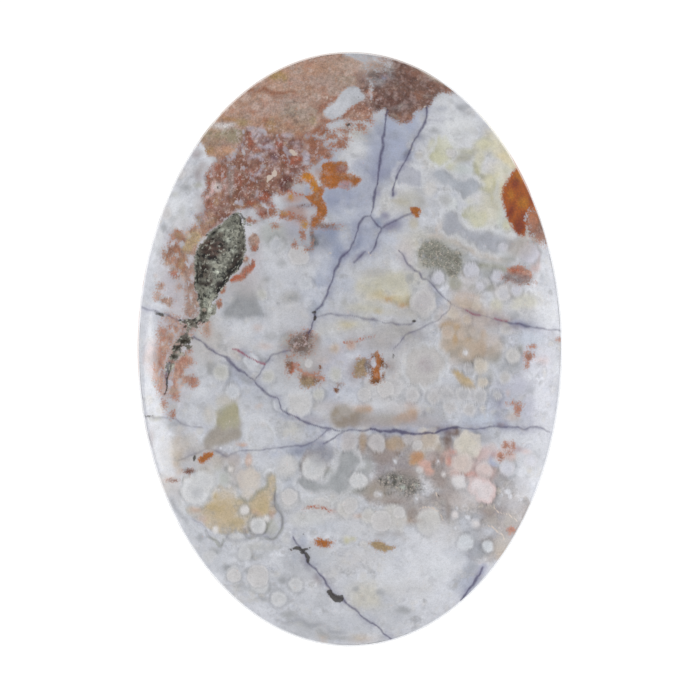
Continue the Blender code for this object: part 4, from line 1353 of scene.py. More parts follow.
dab((172, 156, 138), 0.2, 0.8, [(3.15, -6.6, 0.6, 0.45), (0.9, -6.4, 0.25, 0.45), (6.3, -7.0, 0.3, 0.3)])
dab((120, 104, 96), 0.1, 0.7, [
    (4.6, -6.9, 0.3, 0.14, -20), (6.2, -7.5, 0.2, 0.25), (3.3, -7.3, 0.2, 0.1), (5.9, -8.2, 0.12, 0.3),
])
ringed((198, 196, 194), (206, 205, 204), [
    (3.1, -11.9, 0.95), (5.6, -12.1, 0.85), (-0.3, -11.2, 0.6), (1.3, -11.8, 0.5),
])
dab(GRAVEL, 0.16, 0.7, [
    (4.4, -11.6, 0.4, 0.4), (4.6, -12.1, 0.45, 0.14), (3.2, -10.7, 0.6, 0.15), (6.9, -11.4, 0.15, 0.6),
])
dab((190, 194, 204), 0.3, 0.65, [
    (8.2, -12.3, 0.5, 0.7), (8.9, -11.8, 0.5, 0.3), (7.2, -14.6, 0.7, 0.5), (9.9, -12.8, 0.4, 0.3),
])
dab((160, 164, 172), 0.3, 0.6, [(9.2, -14.2, 0.8, 0.6), (8.6, -13.2, 0.5, 0.5), (8.6, -15.4, 0.4, 0.4)])
ringed((200, 204, 210), (208, 211, 216), [(8.2, -13.6, 0.55), (9.7, -13.9, 0.4), (6.2, -15.6, 0.5)])
# A band of joined grains under the tan field.
ringed(DOVE, (208, 207, 209), [
    (5.9, -3.4, 0.4), (7.0, -4.1, 0.5), (8.4, -4.2, 0.45), (3.0, -2.6, 0.7), (1.4, -2.4, 0.45),
    (4.4, -3.2, 0.5),
])
ringed((188, 186, 186), (207, 205, 204), [
    (10.2, 2.3, 0.5), (11.0, 1.4, 0.4), (10.4, 0.2, 0.4), (11.5, -0.4, 0.5), (10.9, -2.0, 0.4),
])
ringed((198, 190, 180), (209, 203, 195), [
    (9.2, -1.15, 0.5), (9.4, -2.3, 0.33), (7.3, 2.6, 0.5), (8.9, 3.0, 0.3), (8.2, 2.1, 0.3),
])
ringed((190, 190, 186), (206, 206, 205), [
    (-4.4, 0.6, 0.4), (-5.8, -1.9, 0.5), (-2.2, -3.2, 0.4), (-1.0, -1.7, 0.5), (-6.2, 3.9, 0.4),
    (-9.1, -1.6, 0.6),
])
ringed((193, 196, 203), (209, 211, 217), [
    (-7.0, -0.9, 0.5), (-8.3, -3.0, 0.5), (-4.9, -3.9, 0.5), (-10.5, -1.4, 0.4), (-5.2, 7.4, 0.5),
    (-3.2, 4.6, 0.5),
])
ringed((196, 197, 200), (208, 209, 212), [
    (-8.2, -15.8, 0.5), (-6.4, -16.6, 0.6), (-5.0, -17.6, 0.5), (-10.0, -14.6, 0.45),
    (-3.8, -16.6, 0.5), (-7.4, -14.4, 0.45),
])
# Broad tones laid over the finished grains.
dab((160, 146, 130), 0.4, 0.55, [(0.2, -4.6, 1.2, 0.5), (2.0, -10.0, 0.9, 0.7)])
dab((172, 168, 166), 0.6, 0.35, [(3.2, 0.6, 1.8, 1.4), (-4.2, -1.0, 1.2, 1.6), (2.4, -5.0, 1.2, 0.5)])
dab((188, 166, 148), 0.5, 0.45, [(9.0, 2.3, 1.8, 0.8), (9.8, 0.2, 0.9, 0.8), (8.0, 3.9, 0.9, 0.4)])
dab((206, 200, 166), 0.5, 0.5, [(10.0, 10.2, 0.8, 1.4), (11.6, 14.2, 0.8, 1.2)])
dab((178, 170, 160), 0.6, 0.45, [(12.2, 7.1, 0.9, 0.7), (-10.2, 0.9, 1.0, 2.0)])
dab((150, 140, 142), 0.25, 0.55, [(12.0, 5.2, 1.1, 0.6)])
dab((226, 228, 228), 0.6, 0.5, [(7.6, 15.2, 1.4, 1.2), (-9.5, 14.0, 0.5, 0.3)])
dab((216, 218, 224), 0.6, 0.6, [(5.8, -15.3, 1.5, 0.9)])
dab((176, 180, 188), 0.6, 0.45, [(-2.8, -15.0, 1.6, 1.0)])
dab((166, 168, 172), 0.5, 0.4, [(-3.0, -19.9, 2.0, 0.6)])
dab((160, 160, 164), 0.5, 0.45, [(-3.6, 7.6, 1.6, 0.8), (-2.0, 7.6, 0.8, 0.7)])
dab((98, 98, 102), 0.12, 0.8, [(-2.4, 7.5, 0.25, 0.25), (-2.6, 7.9, 0.12, 0.3)])
dab((168, 166, 164), 0.6, 0.4, [(4.2, 1.6, 1.4, 1.3)])
dab((156, 148, 142), 0.5, 0.5, [(1.6, -5.0, 2.2, 0.45)])
dab((160, 162, 172), 0.5, 0.4, [(-2.0, -7.2, 0.9, 0.8)])
dab((182, 180, 170), 0.5, 0.5, [(4.2, 10.4, 0.9, 0.8)])
dab((168, 158, 150), 0.5, 0.5, [(12.0, 7.3, 0.8, 0.6)])
dab((176, 170, 166), 0.6, 0.35, [(-12.0, -7.2, 1.5, 1.2)])
dab(WHITE, 0.5, 0.5, [(14.3, 2.6, 0.6, 1.2)])
dab((218, 220, 226), 0.6, 0.6, [(6.2, -15.0, 1.2, 0.7)])
dab((206, 206, 210), 0.5, 0.5, [(6.0, -12.9, 0.9, 0.7)])
dab((206, 202, 204), 0.5, 0.4, [(8.2, -10.3, 0.9, 0.6)])
dab((222, 224, 228), 0.5, 0.5, [(-12.3, 10.0, 1.0, 1.2), (-13.6, 7.6, 0.5, 0.9)])
dab(MUD, 0.4, 0.5, [(-0.2, -4.9, 1.0, 0.5)])
dab((140, 136, 138), 0.5, 0.45, [(-3.9, 0.2, 1.0, 0.9)])
dab((164, 158, 158), 0.5, 0.4, [(5.0, -5.0, 1.6, 0.5), (-9.6, 5.0, 2.2, 1.6)])
dab((150, 150, 158), 0.5, 0.4, [(-2.0, -7.4, 0.8, 0.8)])
dab((212, 208, 178), 0.5, 0.5, [(10.2, 14.4, 0.8, 0.9), (10.7, 12.4, 0.8, 0.9)])
tint(ground, (150, 152, 160), 0.2, streaks(places, 0.14, [
    [
        (-5.2, -19.1), (-4.4, -19.3), (-3.6, -19.1), (-2.8, -19.5), (-2.0, -19.4), (-1.3, -19.9),
        (-0.4, -20.0),
    ],
    [(-8.9, -13.0), (-8.2, -13.5), (-7.2, -13.4)], [(-12.6, -10.6), (-12.2, -11.4), (-11.5, -12.1)],
]), 0.6)
dab((146, 126, 122), 0.3, 0.6, [(10.7, 2.0, 0.5, 0.25), (11.6, 1.6, 0.3, 0.12)])

# The orbs
# Round grains of chalcedony that grew outwards from a seed. Each one is filled with its
# own tint and has a thin rim, seen where the dome cuts through it.

ORBS = {
    "pale": (PEARL, [
        (4.7, -6.8, 0.4), (-4.3, -10.4, 0.6), (7.1, 13.8, 0.32), (2.2, -12.1, 0.75), (-2.9, -0.95, 0.3),
        (4.9, -8.5, 0.28), (-2.0, -11.0, 0.6), (0.0, -11.0, 0.6), (1.9, -10.2, 0.3), (3.5, -11.5, 0.45),
        (1.0, -3.2, 0.5), (2.5, -2.8, 0.6), (-3.6, 6.6, 0.7), (-12.0, 12.4, 0.4), (-13.0, 9.6, 0.4),
        (-6.5, -16.0, 0.8), (-8.2, -16.0, 0.5),
    ]),
    "white": (SNOW, [
        (8.3, -11.85, 0.2), (7.5, -11.2, 0.11), (7.45, -12.6, 0.1), (6.2, -7.85, 0.13),
        (4.7, -10.5, 0.13), (3.15, -7.9, 0.15), (8.1, -0.25, 0.19), (11.1, -10.05, 0.22),
        (10.75, -10.3, 0.1), (11.3, -10.4, 0.15), (2.2, -10.2, 0.16), (9.5, 7.25, 0.08),
        (-2.55, -8.38, 0.1), (6.15, -9.9, 0.1), (-9.1, -6.95, 0.12), (-3.65, -0.3, 0.13),
        (8.05, 8.1, 0.07), (10.5, -10.9, 0.08), (3.15, 6.55, 0.07),
    ]),
}

ring = np.full(len(places), FAR)
for filling, rounds in ORBS.values():
    disc = union(
        oval(places, x, y, radius, radius) + uneven_rim * min(0.6, radius / 2) for x, y, radius in rounds
    )
    cloud(filling, 0.12, disc, 0.85)
    calm[:] = np.maximum(calm, smooth_step(-0.1, 0, disc))
    ring = np.maximum(ring, disc)
cloud(MIST, 0.2, ovals(places, [(-10.8, -10.1, 0.35, 0.35)]), 0.7)

# Small orbs crowd the right side and the lower half, and leave the milky parts free.
crowd = np.full(len(places), 0.4)
crowd += 0.6 * smooth_step(-1.5, 1.0, ovals(places, [
    (9.0, 3.0, 5.0, 9.0), (8.5, 13.0, 4.0, 3.0), (7.0, -10.0, 6.0, 3.6), (-8.0, -9.5, 5.0, 4.0),
    (-5.5, -16.0, 5.0, 2.6), (-12.5, 9.0, 1.6, 5.0), (-2.0, -11.0, 5.0, 2.6),
]))
crowd = np.clip(crowd, 0, 1)


# The coloured jasper
# Iron stained the upper left end and the edges of the pits brown, brick red, orange and
# sand. It lies in the ground with ragged, grainy edges and fades between its own colours.

SAND = (177, 147, 133)
BRICK = (147, 113, 103)
LIVER = (112, 82, 76)
UMBER = (120, 93, 84)
RUST = (160, 116, 98)
CLAY = (172, 128, 112)
ORANGE = (164, 104, 60)
AMBER = (156, 88, 36)
EMBER = (168, 100, 78)
KHAKI = (163, 142, 112)
BARK = (112, 76, 46)
SHALE = (128, 118, 118)
PEAT = (118, 106, 100)
FLINT = (140, 140, 131)
CHESTNUT = (144, 104, 92)
SHELL = (181, 158, 150)
OXBLOOD = (100, 64, 58)
SUEDE = (164, 138, 128)
HEATHER = (170, 142, 152)
GRAPHITE = (96, 86, 84)
LEAD = (98, 96, 100)
MAHOGANY = (112, 52, 20)
TOBACCO = (158, 122, 76)
PINE = (72, 74, 66)
COCOA = (98, 80, 74)
SILT = (106, 98, 90)
PLUM = (118, 92, 104)
CINNAMON = (126, 80, 62)
RUSSET = (130, 96, 90)
WALNUT = (132, 96, 80)
LOAM = (134, 112, 104)
SADDLE = (150, 102, 80)
TILE = (158, 92, 72)
BRASS = (168, 140, 92)
MARMALADE = (174, 104, 50)
MUSTARD = (180, 138, 80)
MINT = (190, 200, 190)
SAFFRON = (198, 134, 52)

jasper = np.tile(linear(RUST), (len(places), 1))
jasper_reach = np.full(len(places), -2.0)


def stain(colour, soft, reach, strength=1.0):
    """Lays jasper in the ground: soft is the width of its outer edge in millimetres."""
    cover = (strength * smooth_step(-0.16, 0.04, reach))[:, None]
    jasper[:] = jasper * (1 - cover) + linear(colour) * cover
    jasper_reach[:] = np.maximum(jasper_reach, np.clip(reach / soft, -2, 2))


def shade(colour, soft, reach, strength=1.0):
    """Changes the jasper's colour, where there is jasper."""
    tint(jasper, colour, soft, reach, strength)


def clear(soft, reach):
    """Opens a window in the jasper, where the ground shows."""
    jasper_reach[:] = np.minimum(jasper_reach, np.clip(-reach / soft, -2, 2))


# The sandy end: peach and pink, with a grey-green tinge towards its lower side.
SAND_END = [
    (-11.9, 14.0), (-11.0, 14.3), (-10.4, 14.6), (-10.1, 13.7), (-9.6, 13.6), (-9.2, 13.2), (-8.6, 13.5),
    (-7.9, 14.2), (-7.0, 15.0), (-5.0, 15.0), (-3.4, 14.6), (-2.6, 15.1), (-1.4, 16.0), (-0.2, 16.2),
    (0.9, 16.1), (1.6, 16.4), (1.5, 17.2), (1.4, 18.2), (1.0, 19.0), (1.1, 19.7), (0.9, 20.2),
    (0.2, 20.5), (-0.4, 20.8), (-1.0, 21.6), (-6.0, 21.0), (-10.0, 18.2),
]
sand_end = patch(places, SAND_END)
stain(SAND, 0.1, sand_end)
shade((184, 146, 122), 0.5, ovals(places, [
    (-5.8, 18.0, 2.2, 0.6, 5), (-7.6, 17.2, 0.9, 0.6, 35), (-3.0, 19.6, 2.4, 0.5, 12),
    (0.3, 20.3, 0.9, 0.3), (-8.6, 16.2, 1.0, 0.25, -8), (-8.8, 13.9, 1.3, 0.3), (-3.4, 18.3, 0.6, 0.3),
    (-1.0, 16.9, 0.5, 0.3),
]), 0.7)
shade(SHELL, 0.5, ovals(places, [
    (-4.4, 17.4, 1.8, 0.6, -15), (-6.4, 16.9, 1.2, 0.5, 15), (-1.6, 18.7, 1.0, 0.6),
    (-3.6, 19.0, 1.2, 0.3),
]), 0.7)
shade((158, 147, 134), 0.5, ovals(places, [
    (-3.9, 16.4, 1.1, 0.9), (-2.6, 17.2, 0.4, 0.7), (-0.2, 19.2, 1.0, 0.5), (-4.3, 15.3, 0.9, 0.4),
]), 0.75)
shade(CLAY, 0.06, both(sand_end, clumps(0.8, 21, 0.9)), 0.5)
shade((196, 176, 166), 0.06, both(sand_end, clumps(0.55, 22, 0.8)), 0.6)
shade((156, 132, 120), 0.06, both(sand_end, clumps(0.45, 23, 1.0)), 0.55)
shade((170, 128, 104), 0.05, both(sand_end, clumps(0.35, 24, 1.1)), 0.5)

# The brick-red part under it is broken up by pale pink and lavender chalcedony.
BRICK_PART = [
    (-7.6, 15.4), (-6.9, 15.7), (-6.0, 15.4), (-4.5, 15.1), (-3.6, 14.9), (-3.0, 15.3), (-2.2, 14.7),
    (-2.0, 13.6), (-2.5, 13.1), (-3.2, 13.3), (-3.5, 12.6), (-4.0, 12.0), (-4.1, 11.4), (-4.7, 10.9),
    (-5.2, 11.0), (-5.6, 10.6), (-5.3, 10.1), (-5.6, 9.7), (-5.9, 9.2), (-6.3, 9.2), (-6.7, 9.9),
    (-7.3, 9.9), (-7.9, 9.8), (-8.7, 9.2), (-9.6, 8.55), (-10.2, 8.1), (-10.7, 8.9), (-10.9, 9.4),
    (-10.3, 9.6), (-10.3, 10.3), (-10.4, 10.9), (-10.1, 11.4), (-10.2, 12.2), (-9.7, 13.0), (-9.2, 13.4),
    (-8.0, 13.8), (-7.8, 14.6),
]
brick_part = patch(places, BRICK_PART)
stain(BRICK, 0.14, brick_part)
cloud((162, 146, 152), 0.3, brick_part, 0.9)
lower_left = ovals(places, [(-9.6, 9.6, 1.5, 1.4), (-9.0, 11.6, 0.9, 1.6)])
shade((165, 128, 112), 0.4, both(brick_part, lower_left), 0.85)
shade((128, 94, 84), 0.1, both(brick_part, clumps(0.7, 58, 0.1)), 0.5)
shade((188, 168, 168), 0.05, both(brick_part, clumps(0.5, 31, 0.6)), 0.65)
shade(
    (183, 168, 176), 0.05,
    both(brick_part, ovals(places, [(-5.8, 14.2, 2.4, 1.3)]), clumps(0.7, 32, 0.35)), 0.8,
)
shade((112, 76, 68), 0.05, both(brick_part, clumps(0.45, 33, 0.8)), 0.6)
shade((104, 70, 64), 0.05, both(brick_part, clumps(0.3, 34, 1.1)), 0.6)
shade(TILE, 0.05, both(brick_part, clumps(0.5, 35, 1.1)), 0.7)
shade((176, 150, 128), 0.05, both(brick_part, clumps(0.4, 36, 1.2)), 0.6)
shade(
    (142, 100, 84), 0.4,
    both(brick_part, ovals(places, [(-7.0, 11.6, 3.6, 2.8), (-3.6, 13.4, 1.4, 1.2)])), 0.4,
)
shade(OXBLOOD, 0.2, both(brick_part, ovals(places, [
    (-4.5, 11.8, 0.6, 0.5), (-5.8, 10.8, 0.3, 0.45), (-8.0, 10.6, 0.5, 0.3), (-6.6, 12.0, 0.4, 0.2),
    (-8.9, 9.2, 0.5, 0.2),
])), 0.6)
shade(PLUM, 0.16, ovals(places, [
    (-2.6, 13.1, 0.35, 0.3), (-1.6, 13.65, 0.35, 0.22), (-5.3, 13.6, 0.3, 0.2),
]), 0.75)
shade((166, 94, 78), 0.16, ovals(places, [
    (-3.95, 13.2, 0.35, 0.4), (-5.0, 14.4, 0.3, 0.2), (-7.9, 12.0, 0.3, 0.5),
]), 0.7)

# The dark end of the upper right.
stain(UMBER, 0.14, patch(places, [
    (2.9, 21.0), (2.9, 20.2), (2.6, 19.7), (2.0, 19.6), (1.3, 19.8), (1.1, 19.2), (1.6, 18.6),
    (1.5, 17.6), (1.1, 17.2), (1.5, 16.7), (2.3, 16.9), (2.65, 16.5), (3.1, 16.15), (3.8, 15.95),
    (4.3, 16.2), (4.6, 16.8), (5.3, 17.0), (5.7, 17.2), (6.0, 17.7), (6.4, 18.1), (7.0, 18.1),
    (8.0, 18.2), (6.0, 20.5),
]))
stain((146, 122, 114), 0.3, ovals(places, [
    (1.0, 19.0, 0.5, 1.1), (1.0, 17.3, 0.7, 0.6), (1.9, 20.0, 0.8, 0.4), (2.6, 20.6, 0.5, 0.3),
]), 0.85)
stain(RUST, 0.25, ovals(places, [
    (0.3, 16.0, 0.5, 0.3), (0.9, 15.6, 0.3, 0.25), (-0.4, 15.4, 0.4, 0.25), (-1.4, 15.1, 0.5, 0.3),
    (-2.2, 14.6, 0.5, 0.4), (-1.3, 14.3, 0.25, 0.2), (1.3, 16.2, 0.3, 0.3),
]), 0.8)
# The borders of the main pit.
stain((158, 124, 106), 0.18, patch(places, [
    (-10.4, 8.6), (-11.0, 8.7), (-11.5, 8.3), (-12.2, 8.0), (-12.1, 7.4), (-12.6, 7.0), (-13.2, 7.2),
    (-13.15, 6.3), (-12.9, 5.9), (-12.4, 6.0), (-12.7, 5.5), (-12.4, 5.0), (-11.8, 5.1), (-11.6, 4.5),
    (-11.55, 3.4), (-11.6, 2.5), (-11.2, 2.25), (-10.8, 2.6), (-10.6, 4.0), (-10.8, 6.0), (-10.6, 7.6),
    (-10.0, 8.3),
]))
stain(RUST, 0.08, ovals(places, [
    (-6.75, 7.7, 0.38, 0.45), (-6.75, 7.15, 0.28, 0.25), (-7.35, 6.35, 0.26, 0.26),
    (-12.9, 3.45, 0.45, 0.25), (-7.1, 9.1, 0.25, 0.2), (-6.65, 8.95, 0.18, 0.15),
    (-9.25, 3.2, 0.24, 0.3), (-9.0, 4.2, 0.2, 0.3, -40), (-12.75, 3.15, 0.2, 0.2),
]))
stain(EMBER, 0.08, streak(places, 0.26, [
    (-6.85, 6.2), (-6.95, 5.8), (-7.35, 5.5), (-7.6, 5.1), (-8.0, 5.0), (-8.3, 4.9),
]))
stain(SAND, 0.16, ovals(places, [
    (-13.35, 4.4, 0.25, 0.25), (-13.6, 3.75, 0.22, 0.28), (-12.1, 4.4, 0.18, 0.1),
    (-10.1, 1.4, 0.25, 0.4), (-13.1, 1.15, 0.35, 0.3),
]))
pit_border = ovals(places, [(-11.6, 5.4, 1.9, 3.6), (-7.2, 7.0, 1.0, 2.6), (-12.4, -0.8, 1.4, 3.2)])
cloud((188, 178, 182), 0.4, pit_border, 0.45)
shade((160, 138, 128), 0.06, both(pit_border, clumps(0.5, 51, 0.2)), 0.7)
shade((196, 172, 158), 0.06, both(pit_border, clumps(0.6, 52, 0.4)), 0.75)
shade((128, 92, 80), 0.05, both(pit_border, clumps(0.4, 53, 0.9)), 0.65)
stain(SUEDE, 0.14, ovals(places, [(-11.2, 4.7, 0.4, 2.3)]), 0.8)
stain((158, 112, 90), 0.14, ovals(places, [
    (-12.5, 6.9, 0.5, 0.8), (-12.2, 8.0, 0.45, 0.4), (-11.9, 5.9, 0.35, 0.45),
]), 0.75)
stain((186, 166, 128), 0.14, ovals(places, [(-11.0, 7.8, 0.45, 0.45), (-11.5, 7.2, 0.3, 0.3)]), 0.75)
shade((120, 90, 78), 0.1, both(pit_border, clumps(0.35, 64, 0.9)), 0.6)
# The strips that run down the left edge.
stain(CLAY, 0.24, streak(places, 0.36, [
    (-13.3, 1.4), (-13.2, 0.6), (-13.25, -0.2), (-13.4, -1.0), (-13.45, -1.8), (-13.35, -2.6),
    (-13.25, -3.1),
]))
stain(RUST, 0.2, ovals(places, [
    (-12.35, 1.45, 0.45, 0.38), (-12.7, 0.8, 0.4, 0.4), (-12.95, 0.2, 0.3, 0.5),
    (-13.1, -3.85, 0.17, 0.28), (-12.5, -4.6, 0.2, 0.22), (-11.55, 1.6, 0.5, 0.35),
]))
stain(CLAY, 0.18, patches(places, [
    [
        (-11.1, 0.05), (-11.4, -0.4), (-11.0, -0.9), (-11.6, -1.4), (-11.9, -2.0), (-12.55, -2.2),
        (-12.5, -1.6), (-12.5, -1.0), (-12.0, -0.6), (-11.6, -0.15),
    ],
    [
        (-11.5, -1.9), (-10.95, -1.9), (-10.6, -2.3), (-11.1, -2.75), (-11.5, -2.45), (-11.9, -2.5),
        (-11.9, -2.1),
    ],
    [(-12.7, -2.3), (-12.2, -2.4), (-12.0, -2.9), (-12.2, -3.55), (-12.5, -3.5), (-12.75, -3.0)],
]))
# Pinkish grainy borders run down both sides of the crack below the main pit.
stain((168, 142, 136), 0.3, streaks(places, 0.34, [
    [
        (-10.2, 3.0), (-10.5, 2.2), (-11.2, 1.6), (-11.9, 0.7), (-12.4, -0.1), (-12.7, -1.2),
        (-12.9, -2.4), (-13.1, -3.2),
    ],
    [(-12.9, 2.2), (-12.2, 2.0), (-11.4, 1.7)],
]), 0.9)
shade((184, 156, 142), 0.06, both(ovals(places, [(-12.4, -0.6, 1.4, 3.0)]), clumps(0.5, 59, 0.1)), 0.7)
shade(CHESTNUT, 0.06, both(ovals(places, [(-12.2, -0.6, 1.4, 3.0)]), clumps(0.4, 60, 0.6)), 0.6)
# Rust round the clear lens near the top, and the net of rust beside the orange splashes.
stain(RUST, 0.1, ovals(places, [
    (0.6, 15.75, 0.17, 0.2), (-0.8, 14.5, 0.28, 0.3), (-0.3, 14.8, 0.4, 0.17),
    (-2.7, 13.95, 0.22, 0.13), (-2.0, 13.8, 0.3, 0.25), (-1.55, 13.6, 0.35, 0.22),
    (-2.55, 13.25, 0.33, 0.22), (-3.1, 12.8, 0.3, 0.2),
]))
stain((152, 108, 90), 0.14, ovals(places, [
    (-4.7, 9.45, 0.35, 0.25), (-4.1, 9.25, 0.35, 0.16), (-3.5, 9.2, 0.3, 0.15), (-5.2, 8.7, 0.25, 0.14),
    (-3.35, 8.1, 0.2, 0.35), (-3.9, 7.35, 0.17, 0.2), (-2.95, 7.05, 0.25, 0.14), (-2.4, 9.0, 0.4, 0.45),
    (-1.85, 12.0, 0.3, 0.65), (-4.9, 10.95, 0.2, 0.15), (-5.5, 9.7, 0.35, 0.3), (-3.6, 11.9, 0.5, 0.25),
    (-1.9, 13.9, 0.6, 0.4), (-0.7, 14.4, 0.5, 0.3),
]), 0.85)
stain(EMBER, 0.08, streaks(places, 0.09, [
    [(-4.3, 11.1), (-3.8, 10.95), (-3.2, 10.75)], [(-4.9, 9.6), (-4.3, 9.65), (-3.9, 9.5)],
]))
stain(MUSTARD, 0.1, ovals(places, [
    (-3.2, 8.75, 0.3, 0.24), (-4.2, 10.7, 0.18, 0.22), (-4.75, 9.65, 0.25, 0.1),
]), 0.85)
stain((116, 100, 96), 0.14, ovals(places, [(-1.7, 8.68, 0.65, 0.16), (-2.68, 8.1, 0.1, 0.5)]), 0.75)
stain(LEAD, 0.1, streak(places, 0.08, [(-3.75, 10.02), (-3.3, 10.08), (-2.65, 10.2)]), 0.8)
stain(ORANGE, 0.08, patches(places, [
    [
        (-1.95, 13.0), (-1.4, 13.2), (-0.4, 13.2), (-0.15, 12.8), (-0.3, 12.45), (0.1, 12.3),
        (0.8, 12.0), (0.4, 11.5), (0.1, 11.4), (0.0, 11.75), (-0.5, 11.9), (-0.9, 11.5), (-1.4, 11.3),
        (-1.9, 11.7), (-1.95, 12.3),
    ],
    [
        (-3.4, 12.35), (-2.9, 12.5), (-2.5, 12.0), (-2.2, 11.5), (-1.75, 11.2), (-2.0, 10.75),
        (-1.75, 10.3), (-1.6, 9.7), (-1.75, 9.3), (-2.1, 9.0), (-2.5, 8.7), (-2.6, 8.9), (-2.3, 9.5),
        (-2.45, 10.1), (-2.8, 10.4), (-3.2, 10.8), (-2.6, 10.9), (-2.6, 11.4), (-3.0, 11.8),
    ],
]))
stain((150, 104, 98), 0.12, ovals(places, [(-0.6, 12.68, 0.38, 0.22)]), 0.8)
stain(HEATHER, 0.14, ovals(places, [(-0.3, 11.6, 0.38, 0.24)]), 0.7)
stain(SAFFRON, 0.14, ovals(places, [(-3.0, 12.15, 0.35, 0.25), (-2.5, 11.6, 0.25, 0.4)]), 0.7)
stain(ORANGE, 0.08, ovals(places, [
    (4.6, 9.75, 0.33, 0.3), (4.35, 9.95, 0.15, 0.12), (4.75, 9.45, 0.15, 0.15),
]))
# The amber lens on the right edge and the brown beside it.
stain(UMBER, 0.35, patch(places, [
    (12.7, 10.3), (13.3, 10.0), (14.2, 8.6), (14.1, 7.6), (13.4, 7.6), (12.8, 8.0), (12.4, 8.6),
    (12.4, 9.6),
]))
stain(AMBER, 0.12, patch(places, [
    (11.9, 12.9), (11.4, 12.35), (10.95, 11.7), (10.75, 11.0), (10.75, 10.5), (11.0, 9.6), (11.25, 9.0),
    (11.6, 8.4), (12.0, 8.0), (12.35, 7.95), (12.45, 8.6), (12.4, 9.3), (12.65, 9.9), (13.4, 10.2),
    (13.6, 11.5), (12.6, 13.2),
]))
# Rust on the right.
stain(CLAY, 0.1, patch(places, [
    (11.0, 5.7), (11.5, 5.85), (12.0, 5.95), (12.6, 5.6), (12.9, 5.2), (12.5, 4.85), (12.0, 4.95),
    (11.5, 5.25),
]))
stain(CLAY, 0.12, ovals(places, [
    (12.95, 0.2, 0.3, 0.15), (12.6, -0.5, 0.36, 0.3), (12.45, -1.1, 0.18, 0.18),
    (11.55, -3.8, 0.45, 0.14), (11.85, -4.2, 0.22, 0.38), (10.65, -7.55, 0.22, 0.28),
    (11.0, -6.75, 0.25, 0.2), (11.45, -6.8, 0.14, 0.25), (11.2, -7.35, 0.25, 0.12),
    (11.4, -12.75, 0.32, 0.27), (14.75, 0.65, 0.2, 0.16),
]))
# Brown and orange spots near the middle.
stain((120, 104, 98), 0.3, ovals(places, [
    (-3.45, 0.35, 0.8, 0.75), (-3.0, 0.9, 0.4, 0.35), (-3.9, 0.2, 0.4, 0.35),
]))
stain(EMBER, 0.08, patch(places, [
    (-4.5, -0.7), (-4.2, -0.8), (-3.9, -0.9), (-3.5, -1.15), (-3.9, -1.3), (-4.1, -1.7), (-4.4, -1.6),
    (-4.3, -1.1),
]))
stain((154, 134, 108), 0.16, patches(places, [
    [(-3.5, -1.8), (-3.1, -1.6), (-2.6, -1.6), (-2.3, -2.0), (-2.5, -2.5), (-3.1, -2.75), (-3.5, -2.4)],
    [(0.5, -0.8), (1.2, -0.7), (1.3, -1.3), (1.1, -1.9), (0.5, -2.0), (0.3, -1.5)],
]))
stain((128, 100, 84), 0.2, ovals(places, [
    (-3.3, -1.9, 0.3, 0.2), (-2.3, -2.2, 0.3, 0.3), (-4.3, -1.1, 0.2, 0.45),
]), 0.8)
stain(CLAY, 0.15, streak(places, 0.14, [
    (-3.9, -1.1), (-3.3, -1.6), (-2.5, -1.75), (-2.0, -2.0), (-1.8, -2.2),
]))
stain(SHALE, 0.14, ovals(places, [
    (1.3, -1.2, 0.22, 0.4), (-0.7, -2.5, 0.15, 0.1), (2.55, -1.2, 0.12, 0.15),
]))
stain(BARK, 0.07, ovals(places, [(-0.95, -2.9, 0.2, 0.16), (-2.1, -1.3, 0.09, 0.13)]))
stain(ORANGE, 0.07, patch(places, RUST_PIT))
# Spots of the lower half.
stain(ORANGE, 0.12, ovals(places, [(-1.85, -13.65, 0.62, 0.28, -8)]))
stain(KHAKI, 0.12, patch(places, [
    (1.3, -13.75), (1.9, -13.5), (2.5, -13.75), (3.1, -13.95), (2.5, -14.25), (1.9, -14.1),
]))
stain(ORANGE, 0.09, patch(places, [
    (-10.7, -7.75), (-10.2, -7.3), (-9.7, -7.3), (-9.7, -7.6), (-10.2, -7.9), (-10.5, -8.0),
]))
stain(UMBER, 0.1, ovals(places, [(-11.35, -8.6, 0.35, 0.18), (-12.5, -9.25, 0.4, 0.12)]))
stain(EMBER, 0.1, streaks(places, 0.06, [
    [(-3.3, -11.25), (-2.8, -11.1), (-2.2, -11.15), (-1.8, -11.2), (-1.3, -11.4)],
    [(-0.4, 0.45), (0.3, 0.55), (0.9, 0.75), (1.3, 0.85), (1.7, 0.95)],
]))

# Colours inside the sandy end.
shade((152, 106, 84), 0.11, streak(places, 0.15, [
    (-7.2, 18.3), (-6.6, 18.3), (-6.1, 18.4), (-5.8, 18.15), (-5.2, 18.1), (-4.7, 18.1), (-3.95, 18.15),
]), 0.9)
shade((160, 118, 98), 0.15, streaks(places, 0.14, [
    [(-5.7, 18.3), (-5.4, 17.9), (-4.9, 17.8), (-4.4, 17.9)], [(-6.8, 18.2), (-6.9, 17.9)],
]), 0.7)
shade(BRASS, 0.2, ovals(places, [(-5.2, 19.3, 0.5, 0.33, 20), (-4.6, 19.2, 0.2, 0.3)]), 0.85)
shade((160, 122, 84), 0.13, streak(places, 0.13, [
    (-9.5, 16.15), (-9.0, 16.3), (-8.5, 16.25), (-8.0, 16.05), (-7.5, 15.95), (-7.0, 16.1),
]), 0.8)
shade((164, 146, 112), 0.2, ovals(places, [
    (-7.6, 16.0, 0.5, 0.3), (-5.6, 15.8, 0.35, 0.5), (-2.6, 16.1, 0.3, 0.3),
]), 0.7)
shade((215, 212, 212), 0.13, ovals(places, [
    (-9.0, 15.75, 0.75, 0.2, 2), (-8.5, 15.85, 0.35, 0.12),
]), 0.95)
shade((150, 141, 120), 0.16, ovals(places, [
    (-9.3, 15.15, 1.0, 0.25), (-8.3, 15.2, 0.8, 0.35), (-8.2, 14.8, 0.6, 0.3),
    (-10.3, 15.1, 0.4, 0.15, 30),
]), 0.9)
